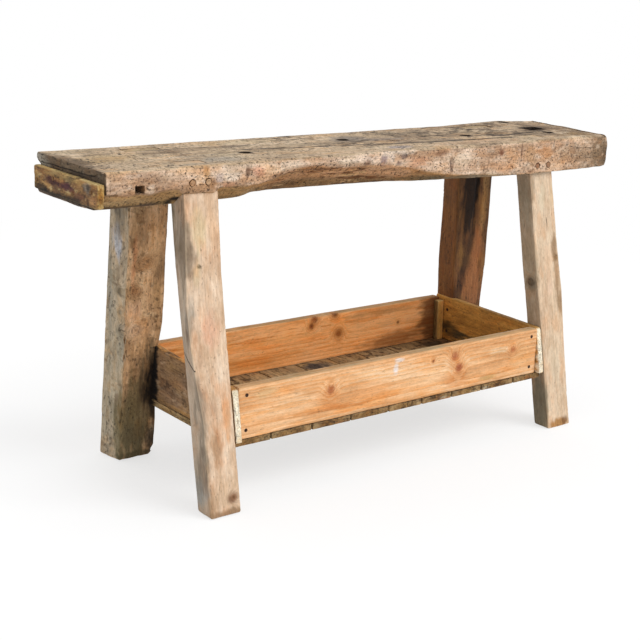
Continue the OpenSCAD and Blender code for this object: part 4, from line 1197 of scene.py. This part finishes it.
# Each leg's own wear, faces, patches, knots and cracks. The dark band of painted shade down the back
# right leg is given by x and z, and the black painted shade in the hollow beside the back left leg
# by z and half width.
shadowBand = [(545, 700), (546, 650), (547, 600), (548, 550), (547, 500)]
shadowTail = [(540, 450), (530, 400), (522, 350), (514, 300)]
hollowShadeReach = [(165, 58), (185, 58), (205, 56), (225, 54), (245, 48), (262, 38), (278, 24)]
legLooks = {
    "leg_front_left": {
        "slot": "front_leg_timber", "seed": 21, "pith": (60, 50), "chips": 6.0,
        "swells": {
            "right": [(560, 0), (640, 4), (735, 9)], "leftBack": [(320, 0), (560, 3), (700, 1)],
            "leftFront": [(230, 0), (310, 9), (390, 16), (490, 18), (600, 9), (690, 2), (741, 0)],
        },
        "faces": [((-1, 0, 0), "#b3a593", 0.95), ((0, 0, 1), "#b7a282", 1.0), ((1, 0, 0), "#a28a6c", 0.6)],
        "stainsAndShade": [
            ((-575, -180, 430), (34, 16, 70), "#dcaa8c", 0.65),
            ((-585, -140, 640), (26, 16, 90), "#d3c097", 0.6),
            ((-545, -140, 640), (20, 16, 90), "#e5bd97", 0.5),
            ((-590, -156, 576), (8, 16, 6), "#3c2a1d", 1.0),
            ((-596, -160, 560), (14, 16, 40), "#c0ad86", 0.5),
            ((-578, -225, 150), (24, 16, 80), "#ad845f", 0.75),
            ((-545, -215, 230), (13, 16, 100), "#d09764", 0.7),
            ((-595, -245, 40), (16, 16, 50), "#b5906c", 0.6),
            ((-560, -245, 60), (60, 16, 60), "#cdb091", 0.5),
            ((-548, -247, 38), (12, 16, 14), "#6d4e36", 0.75),
            ((-604, -245, 30), (10, 16, 60), "#a98563", 0.6),
            ((-560, -250, 6), (70, 20, 16), "#8c6c4a", 0.8),
            ((-618, -150, 630), (17, 70, 110), "#8f7d69", 0.8),
            # Painted shade: darker at the top of the left side, under the slab
            ((-606, -82, 690), (18, 64, 70), "#6f624c", 0.95),
            ((-608, -96, 620), (18, 56, 80), "#7d6e58", 0.8),
            ((-622, -168, 446), (22, 20, 60), "#5c4d3e", 0.9),
            ((-612, -150, 560), (26, 10, 120), "#7d6e5c", 0.6),
            ((-616, -190, 470), (26, 60, 80), "#cbbfae", 0.6),
            ((-616, -225, 250), (26, 60, 120), "#8b7e6e", 0.75),
            ((-618, -238, 180), (26, 16, 130), "#8c7c68", 0.7),
            ((-618, -205, 56), (26, 50, 60), "#a9aaa6", 0.8),
            ((-618, -210, 110), (26, 40, 90), "#7f7262", 0.75),
            ((-614, -134, 450), (12, 14, 60), "#c3b8a6", 0.5),
        ],
        "knots": [((-542, -247, 40), 9, "#8a6244")],
        "cracks": [
            ((-620, -170, 358), (-13, -62, -33), (0, 1, -1), 46, 1.8),
            ((-614, -225, 190), (0, -0.14, -1), (0, 1, 0), 90, 1.0),
        ],
    },
    "leg_front_right": {
        "slot": "front_leg_timber", "seed": 22, "pith": (-70, 40), "chips": 5.0,
        "swells": {
            "right": [(0, 4), (150, 5), (380, 11), (500, 5), (720, 2)],
            "left": [(300, 0), (400, 3), (600, 2)],
        },
        "faces": [((-1, 0, 0), "#a3957f", 0.95), ((0, 0, 1), "#b7a282", 1.0), ((0, -1, 0), "#dac7aa", 0.5)],
        "stainsAndShade": [
            ((583, -160, 500), (14, 20, 60), "#8f6f4e", 0.8),
            ((589, -172, 430), (14, 20, 60), "#a07c58", 0.75),
            ((597, -188, 350), (13, 20, 50), "#94734f", 0.75),
            ((615, -225, 130), (12, 20, 120), "#c0a07c", 0.6),
            ((560, -175, 400), (16, 16, 50), "#e0bfa6", 0.5),
            ((556, -165, 470), (24, 16, 110), "#dfbd9d", 0.6),
            ((570, -215, 150), (30, 16, 110), "#e3d2b8", 0.6),
            ((575, -243, 8), (70, 20, 20), "#a97a3f", 0.9),
            ((596, -243, 14), (16, 20, 20), "#6f4a2a", 0.7),
            ((524, -225, 60), (12, 80, 120), "#7d735f", 0.9),
            ((512, -150, 450), (12, 60, 110), "#b5a288", 0.7),
            ((512, -156, 400), (12, 22, 26), "#857863", 0.7),
            ((506, -120, 660), (12, 60, 60), "#8f806a", 0.6),
            ((545, -130, 640), (20, 16, 70), "#dfd2b8", 0.6),
            ((585, -130, 640), (14, 16, 70), "#cdb793", 0.6),
        ],
        "knots": [((513, -150, 407), 12, "#6e604c"), ((590, -160, 470), 8, "#94714c")],
        "cracks": [
            ((557, -146, 566), (0.03, -0.18, -1), (1, 0, 0), 20, 1.1),
        ],
    },
    "leg_back_left": {
        "slot": "back_leg_timber", "seed": 23, "pith": (50, -70), "rough": 2.2, "chips": 9.0,
        "chipFrom": 0.1,
        "swells": {
            "right": [(300, 0), (360, 9), (722, 10)], "leftBack": [(0, 9), (200, 8), (640, 3), (722, 2)],
            "leftFront": [(0, -3), (110, -3), (300, -6), (430, -3), (570, -7), (700, -3)],
        },
        "faces": [((-1, 0, 0), "#bab09b", 0.95), ((0, 0, 1), "#b7a282", 1.0)],
        "scribbles": [((16, 16, 13), "#6f5335", 0.5, 135), ((16, 16, 13), "#e2c39b", 0.45, 136)],
        "stainsAndShade": [
            ((-623, 152, 580), (9, 26, 62), "#c6c9d2", 0.9),
            # Painted shade: darker at the top of the left side, under the slab
            ((-623, 145, 630), (9, 30, 60), "#7c7263", 0.7),
            ((-618, 152, 668), (14, 54, 50), "#62584c", 0.9),
            ((-623, 190, 480), (9, 16, 200), "#9b978b", 0.6),
            ((-598, 120, 560), (9, 16, 120), "#cf8a5c", 0.6),
            ((-550, 110, 640), (30, 16, 40), "#c79f76", 0.6),
            ((-540, 115, 560), (26, 16, 70), "#cda478", 0.6),
            ((-570, 115, 520), (24, 16, 20), "#b98f64", 0.6),
            ((-590, 130, 400), (26, 16, 40), "#d0a888", 0.6),
            ((-590, 134, 353), (28, 16, 24), "#e0c2a4", 0.8),
            ((-530, 125, 440), (22, 16, 50), "#cba273", 0.6),
            ((-550, 140, 300), (50, 16, 30), "#b98f62", 0.5),
            ((-595, 155, 90), (90, 60, 130), "#85795a", 0.95),
            ((-570, 150, 130), (90, 60, 130), "#7f6e4d", 0.9),
            ((-530, 150, 210), (44, 60, 130), "#755f43", 0.9),
            ((-575, 150, 60), (60, 40, 60), "#6d6248", 0.7),
            # Black painted shade in the hollow beside the end board
            *[((-504, 146, z), (reach, 70, 44), "#15100c", 1.0) for z, reach in hollowShadeReach],
            ((-512, 150, 110), (20, 30, 90), "#2b2218", 0.9),
            ((-512, 158, 50), (30, 60, 70), "#40362a", 0.9),
            ((-630, 170, 230), (9, 80, 150), "#b9b19c", 0.7),
            ((-634, 185, 20), (12, 90, 90), "#857b67", 0.85),
            ((-560, 160, 10), (90, 60, 14), "#565038", 0.8),
        ],
        "knots": [
            ((-560, 116, 527), 11, "#bb9065"), ((-583, 117, 520), 8, "#bb9065"),
            ((-590, 122, 454), 9, "#b08258"), ((-583, 134, 353), 12, "#cfa782"),
            ((-624, 150, 454), 9, "#83755f"), ((-624, 152, 352), 9, "#83755f"),
            ((-624, 150, 400), 6, "#83755f"),
        ],
        "cracks": [((-624, 150, 330), (0, 0.11, -1), (0, 1, 0), 60, 1.2)],
        "dents": [
            ((-568, 116, 525), (12, 12, 12), 2.5), ((-591, 124, 454), (10, 12, 10), 2.5),
            ((-508, 155, 8), (16, 40, 24), 14), ((-505, 170, 150), (9, 30, 60), 5),
            ((-508, 160, 250), (10, 60, 40), 6),
        ],
    },
    "leg_back_right": {
        "slot": "dark_leg_timber", "seed": 24, "pith": (-40, 80), "rough": 1.4, "chips": 6.0,
        "swells": {
            "right": [(290, 0), (380, 7), (560, 4), (700, 1)],
            "left": [(290, 0), (400, 8), (560, 9), (700, 13)], "leftFront": [(400, 0), (560, 4), (700, 7)],
        },
        "faces": [((-1, 0, 0), "#875629", 0.9), ((0, 0, 1), "#b7a282", 1.0), ((1, 0, 0), "#6d5138", 0.8)],
        "stainsAndShade": [
            ((518, 120, 620), (44, 26, 250), "#2d1d11", 0.97),
            ((582, 125, 620), (22, 16, 200), "#ad8656", 0.9),
            ((570, 135, 440), (34, 16, 120), "#a56c43", 0.8),
            ((560, 140, 350), (60, 16, 70), "#a87046", 0.8),
            ((580, 150, 300), (50, 26, 60), "#aa7046", 0.75),
            *[((x, 120, z), (13, 26, 50), "#1d130d", 0.95) for x, z in shadowBand],
            *[((x, 130, z), (26, 30, 50), "#38271b", 0.7) for x, z in shadowTail],
            ((503, 150, 520), (9, 50, 120), "#8a5c30", 0.6),
        ],
        "cracks": [((547, 112, 620), (0, -0.06, 1), (1, 0, 0), 100, 3.0)],
        "dents": [((x, 118, z), (11, 20, 50), 5) for x, z in shadowBand],
    },
}
for node, look in legLooks.items():
    makePlank(node, legSections(node), {"ragged": (14, 14, 60), **look})
print("legs made")

# The end boards' sawn front ends are this pale. It is laid on twice, which hides the wood's own tone.
cream = "#fff6e0"
# Levels of the faces that carry patches: the front and back boards' fronts, the end boards' outer
# sides and the batten's outer side
boardFront, boardBack, endLeft, endRight, battenSide = -203, 195, -524, 492, -832
boardLooks = {
    "tray_front_board": ((0, 2, 1), {
        "slot": "tray_pine", "seed": 31, "pith": (20, 60), "chips": 2.0, "ragged": (60, 12, 12),
        "faces": [((0, 0, 1), "#ab9674", 0.9)],
        "knots": [
            ((-230, boardFront, 236), 12, "#b06c42"), ((186, boardFront, 256), 13, "#b9744c"),
            ((203, boardFront, 222), 13, "#a65d3c"), ((108, boardFront, 256), 4, "#7b4a2e"),
            ((405, boardFront, 240), 10, "#c07a4c"),
        ],
        "knotHalo": "#dd9a62", "knotRim": "#955432",
        "stainsAndShade": [
            *onPlane(1, boardFront, 9, [
                (-10, 277, 26, 9, "#efe6e4", 1.0), (-20, 258, 12, 24, "#efe6e4", 0.95),
                (350, 246, 60, 20, "#f6d5ae", 0.8), (440, 210, 60, 50, "#f0c08c", 0.5),
                (316, 176, 40, 9, "#b39a5f", 0.5), (-430, 262, 46, 20, "#cfae7d", 0.5),
                (-380, 180, 90, 24, "#f3c698", 0.5), (40, 190, 120, 30, "#f4c493", 0.5),
                (200, 200, 60, 40, "#dd9a62", 0.5), (-230, 215, 60, 40, "#e0a067", 0.5),
                (-120, 220, 100, 30, "#efb783", 0.4), (0, 162, 480, 5, "#b98a58", 0.5),
            ]),
        ],
    }),
    "tray_back_board": ((0, 2, 1), {
        "slot": "tray_pine", "seed": 32, "pith": (-30, 80), "chips": 2.5, "ragged": (60, 12, 12),
        "faces": [((0, 0, 1), "#a5865c", 0.9), ((0, -1, 0), "#ffb770", 0.85), ((0, 1, 0), "#96805f", 0.8)],
        "knots": [
            ((24, 196, 280), 11, "#9b5a2f"), ((14, 196, 262), 9, "#7f4824"),
            ((112, 196, 229), 12, "#a8682f"), ((96, 196, 286), 10, "#9b6538"),
            ((335, 195, 229), 4, "#4b3422"),
        ],
        "knotHalo": "#c07a3c", "knotRim": "#5c311c",
        "stainsAndShade": [
            *onPlane(1, boardBack, 9, [
                (-200, 185, 240, 24, "#d08c46", 0.6), (330, 180, 150, 34, "#9a6230", 0.75),
                (-350, 260, 120, 26, "#eeb067", 0.5), (240, 270, 160, 12, "#b57c46", 0.6),
                (-100, 240, 160, 12, "#f0ac66", 0.4),
            ]),
            # Painted shade: darker towards the back right corner of the tray
            ((474, 195, 230), (74, 12, 130), "#6b4320", 0.85),
        ],
    }),
    "tray_end_board_left": ((1, 2, 0), {
        "slot": "end_board_timber", "seed": 33, "pith": (20, 50), "rough": 1.6, "ragged": (12, 50, 12),
        "scribbles": [((12, 20, 8), "#4d3a2b", 0.7, 131), ((12, 26, 9), "#bc9f80", 0.7, 132)],
        "faces": [
            ((-1, 0, 0), "#947862", 0.9), *2 * [((0, -1, 0), cream, 1.0)],
            ((0, 0, 1), "#d09658", 0.8), ((1, 0, 0), "#b98447", 0.7),
        ],
        "stainsAndShade": [
            *onPlane(0, endLeft, 9, [
                (70, 212, 60, 30, "#654c38", 0.6), (0, 166, 150, 7, "#b98c52", 0.7),
                (-20, 246, 50, 20, "#6e5540", 0.6), (20, 232, 30, 14, "#ad8c6c", 0.6),
                (92, 188, 40, 12, "#a98664", 0.5),
            ]),
            # Black painted shade at the back end, beside the back left leg's hollow
            *onPlane(0, endLeft, 16, [
                (152, 230, 30, 190, "#15100c", 1.0), (142, 235, 22, 180, "#15100c", 1.0),
            ]),
        ],
    }),
    "tray_end_board_right": ((1, 2, 0), {
        "slot": "end_board_timber", "seed": 34, "pith": (-25, 60), "rough": 1.2, "ragged": (12, 50, 12),
        "faces": [
            ((-1, 0, 0), "#dc9f4c", 0.85), *2 * [((0, -1, 0), cream, 1.0)],
            ((0, 0, 1), "#d0a060", 0.8), ((1, 0, 0), "#7a6448", 0.8),
        ],
        "stainsAndShade": [
            # Painted shade: darker towards the lower back corner of the tray
            *onPlane(0, endRight, 16, [
                (20, 180, 150, 34, "#857548", 0.6), (130, 180, 70, 44, "#54492f", 0.8),
                (168, 196, 46, 54, "#43391f", 0.85), (95, 172, 90, 32, "#4b4330", 0.8),
            ]),
            *2 * [((endRight, -248, 215), (20, 60, 260), cream, 1.0)],
        ],
    }),
    "end_batten": ((1, 2, 0), {
        "slot": "batten_timber", "seed": 35, "pith": (0, 40), "softness": 3, "chips": 6.0, "chipFrom": 0.1,
        "rough": 1.6, "ragged": (9, 22, 9),
        "faces": [
            ((-1, 0, 0), "#94714c", 0.8), ((0, 0, 1), "#c3b07a", 0.85), ((0, -1, 0), "#a07636", 0.9),
            ((0, 0, -1), "#3a2c1f", 0.8),
        ],
        "scribbles": [((12, 15, 7), "#35261b", 0.75, 133), ((12, 20, 8), "#cfb682", 0.7, 134)],
        "stainsAndShade": [
            *onPlane(0, battenSide, 9, [
                (160, 745, 26, 26, "#a8854f", 0.7), (70, 751, 50, 14, "#4d2b28", 0.95),
                (10, 748, 50, 15, "#572f35", 0.95), (-50, 737, 50, 13, "#7b4f35", 0.85),
                (20, 767, 120, 8, "#b09a68", 0.6), (130, 728, 50, 12, "#33251a", 0.85),
                (-88, 760, 22, 17, "#958b80", 0.8), (-92, 762, 10, 12, "#2f2823", 0.7),
                (-112, 738, 20, 14, "#ba8b5e", 0.7), (40, 721, 180, 8, "#1f1712", 0.95),
                (-20, 728, 80, 7, "#2d2018", 0.7),
            ]),
            ((-826, -138, 735), (14, 9, 22), "#835a2c", 0.7),
        ],
    }),
    "corner_post_front_left": ((2, 0, 1), {"slot": "post_timber", "seed": 36}),
    "corner_post_front_right": ((2, 0, 1), {"slot": "post_timber", "seed": 37}),
    "corner_post_back_left": ((2, 0, 1), {"slot": "post_timber", "seed": 38}),
    "corner_post_back_right": ((2, 0, 1), {
        "slot": "post_timber", "seed": 39,
        # Painted light and shade: the left side is painted dark as shade and the front painted light as a
        # highlight
        "faces": [((-1, 0, 0), "#2a1d12", 1.0), ((0, -1, 0), "#f6bb62", 1.0)],
    }),
}
floorTones = [
    "#b09672", "#9f8662", "#b79b74", "#c4aa84", "#b2956c", "#a4865f", "#bda27c", "#a98a60", "#9a744e",
]
endTones = [
    "#4c3822", "#9c7440", "#6a4124", "#8a6a38", "#46301a", "#a1622f", "#c2ab86", "#65482a", "#8a5a30",
]
for number, tone in enumerate(floorTones, 1):
    boardLooks[f"floor_board_{number}"] = ((1, 0, 2), {
        "slot": "floor_timber", "seed": 40 + number, "pith": (14 * number - 60, 40), "rough": 0.7,
        "spacing": 3.0, "softness": 1, "rounding": 0.5, "chips": 2.0, "ragged": (24, 60, 8),
        "faces": [((0, 0, 1), tone, 0.6), ((0, -1, 0), "#86602f", 0.85)],
        "scribbles": [((12, 16, 5), "#33231a", 0.7, 140 + number)],
        "stainsAndShade": [
            ((-520 + 113 * number, boardFront, 144), (24, 9, 5), endTones[number - 1], 0.8),
            ((-480 + 113 * number, boardFront, 153), (26, 9, 5), endTones[-number], 0.75),
            ((-545 + 113 * number, boardFront, 150), (12, 9, 6), endTones[number - 4], 0.7),
            ((5, 158, 159), (60, 34, 9), "#4a4644", 1.0),
            # Painted shade: a dark line where the floor meets the front board, and dark patches in the back
            # left and back right corners
            ((0, boardFront, 160), (900, 9, 4), "#2f2116", 0.8),
            ((-528, 162, 152), (30, 34, 22), "#1d1610", 0.95),
            ((450, 150, 160), (70, 60, 9), "#3c3126", 0.85),
            ((306, boardFront, 147), (15, 9, 5), "#d8cdb8", 0.9),
            ((155, boardFront, 148), (18, 9, 4), "#b9ac94", 0.8),
        ],
    })
for node, (order, look) in boardLooks.items():
    sections = boardCorners(node).transpose(*order, 3)
    makePlank(node, sections, {"softness": 2, **look})
print("boards made")


pegs = {
    **plainPlank,
    "sink": 2.2,
    "length": 80,
    "sides": 28,
    "seed": 60,
    "grainFrom": (0, 3.0, 8.0),
    "stainsAndShade": [((540, slabFront, 740), (120, 60, 90), "#a0745a", 0.7)],
}


def makePegs(values):
    # Each peg is a rod whose end lies a little below the slab's face
    shells = []
    front, back = pegCentres()
    for number, centre in enumerate(front + back):
        inwards = 1 if number < len(front) else -1
        start = centre[1] + inwards * values["sink"]
        end = start + inwards * values["length"]
        shells.append(rodShell(centre[[0, 2]], pegRadius, "y", start, end, number, values["sides"]))
    piece = closedMesh("worn_drawbore_pegs", shells)
    points = meshPoints(piece)
    dressPiece(piece, points[:, [1, 0, 2]] + np.array(values["grainFrom"]), 0 * points[:, 0], values)
    finishPiece(piece, "peg_timber", ["drawbore_pegs"])


makePegs(pegs)
nailFinishes = {
    "batten_nails": handledIron,
    "front_board_nails": nailIron,
    "back_board_nails": nailIron,
    "end_board_nails": nailIron,
    "floor_board_nails": nailIron,
}
for node, iron in nailFinishes.items():
    frame["nodes"][node].data.materials.clear()
    frame["nodes"][node].data.materials.append(iron)
print("pegs and nails made")


# Plain pale floor and soft studio light
studio = {
    "floorReach": 60.0,  # metres, as the other lengths here
    "floorDrop": 0.0005,
    "fadeFrom": 1.2,
    "fadeTo": 3.0,
    "paleness": 0.66,  # share of plain white in the floor that the camera sees close by
    "floorBounce": 0.72,
    "ambient": 0.78,
    "key": {"towards": (-0.42, 0.62, -0.70), "strength": 1.5, "softness": 38},
}


def makeFloor(values):
    # A square a hair below the feet. The camera sees it white, apart from the bench's shadow, and
    # far off it fades to plain white light; what it throws back on the bench is a paler grey.
    reach = values["floorReach"]
    corners = np.array([[-1, -1, 0], [1, -1, 0], [1, 1, 0], [-1, 1, 0]], float) * reach
    mesh = bpy.data.meshes.new("studioFloor")
    mesh.from_pydata(corners - np.array([0, 0, values["floorDrop"]]), [], [[0, 1, 2, 3]])
    floor = bpy.data.objects.new("studioFloor", mesh)
    bpy.context.scene.collection.objects.link(floor)
    material, add = emptyMaterial("whitePaperFloor")
    place = add("ShaderNodeTexCoord", {}, {}).outputs["Object"]
    distance = add("ShaderNodeVectorMath", {"operation": "LENGTH"}, {0: place}).outputs["Value"]
    fade = add("ShaderNodeMapRange", {"interpolation_type": "SMOOTHSTEP"}, {
        "Value": distance, "From Min": values["fadeFrom"], "From Max": values["fadeTo"]
    })
    seen = add("ShaderNodeLightPath", {}, {}).outputs["Is Camera Ray"]
    colour = add("ShaderNodeMix", {"data_type": "RGBA"}, {
        0: seen, 6: (*(3 * [values["floorBounce"]]), 1), 7: (1, 1, 1, 1)
    }).outputs[2]
    paper = add("ShaderNodeBsdfDiffuse", {}, {"Color": colour})
    white = add("ShaderNodeEmission", {}, {"Color": (1, 1, 1, 1), "Strength": 1.0})
    paler = add("ShaderNodeMapRange", {}, {"Value": fade, "To Min": values["paleness"], "To Max": 1.0})
    far = add("ShaderNodeMath", {"operation": "MULTIPLY"}, {0: paler, 1: seen})
    mixed = add("ShaderNodeMixShader", {}, {0: far, 1: paper, 2: white})
    add("ShaderNodeOutputMaterial", {}, {"Surface": mixed})
    mesh.materials.append(material)


def makeLight(values):
    # Even light from all round, seen as white, and one broad lamp high at the front right
    world = bpy.data.worlds.new("studioWorld")
    bpy.context.scene.world = world
    world.use_nodes = True
    world.node_tree.nodes.clear()
    add = functools.partial(put, world.node_tree)
    seen = add("ShaderNodeLightPath", {}, {}).outputs["Is Camera Ray"]
    strength = add("ShaderNodeMapRange", {}, {"Value": seen, "To Min": values["ambient"], "To Max": 1.0})
    light = add("ShaderNodeBackground", {}, {"Color": (1, 1, 1, 1), "Strength": strength})
    add("ShaderNodeOutputWorld", {}, {"Surface": light})
    lamp = bpy.data.lights.new("softKey", "SUN")
    lamp.energy = values["key"]["strength"]
    lamp.angle = math.radians(values["key"]["softness"])
    key = bpy.data.objects.new("softKey", lamp)
    towards = np.array(values["key"]["towards"], float)
    towards /= np.linalg.norm(towards)
    side = np.cross([0, 0, 1], -towards)
    side /= np.linalg.norm(side)
    matrix = np.eye(4)
    matrix[:3, :3] = np.column_stack([side, np.cross(-towards, side), -towards])
    key.matrix_world = Matrix(matrix.tolist())
    bpy.context.scene.collection.objects.link(key)


makeFloor(studio)
makeLight(studio)
bpy.context.scene.view_settings.view_transform = "Standard"
print("studio set")
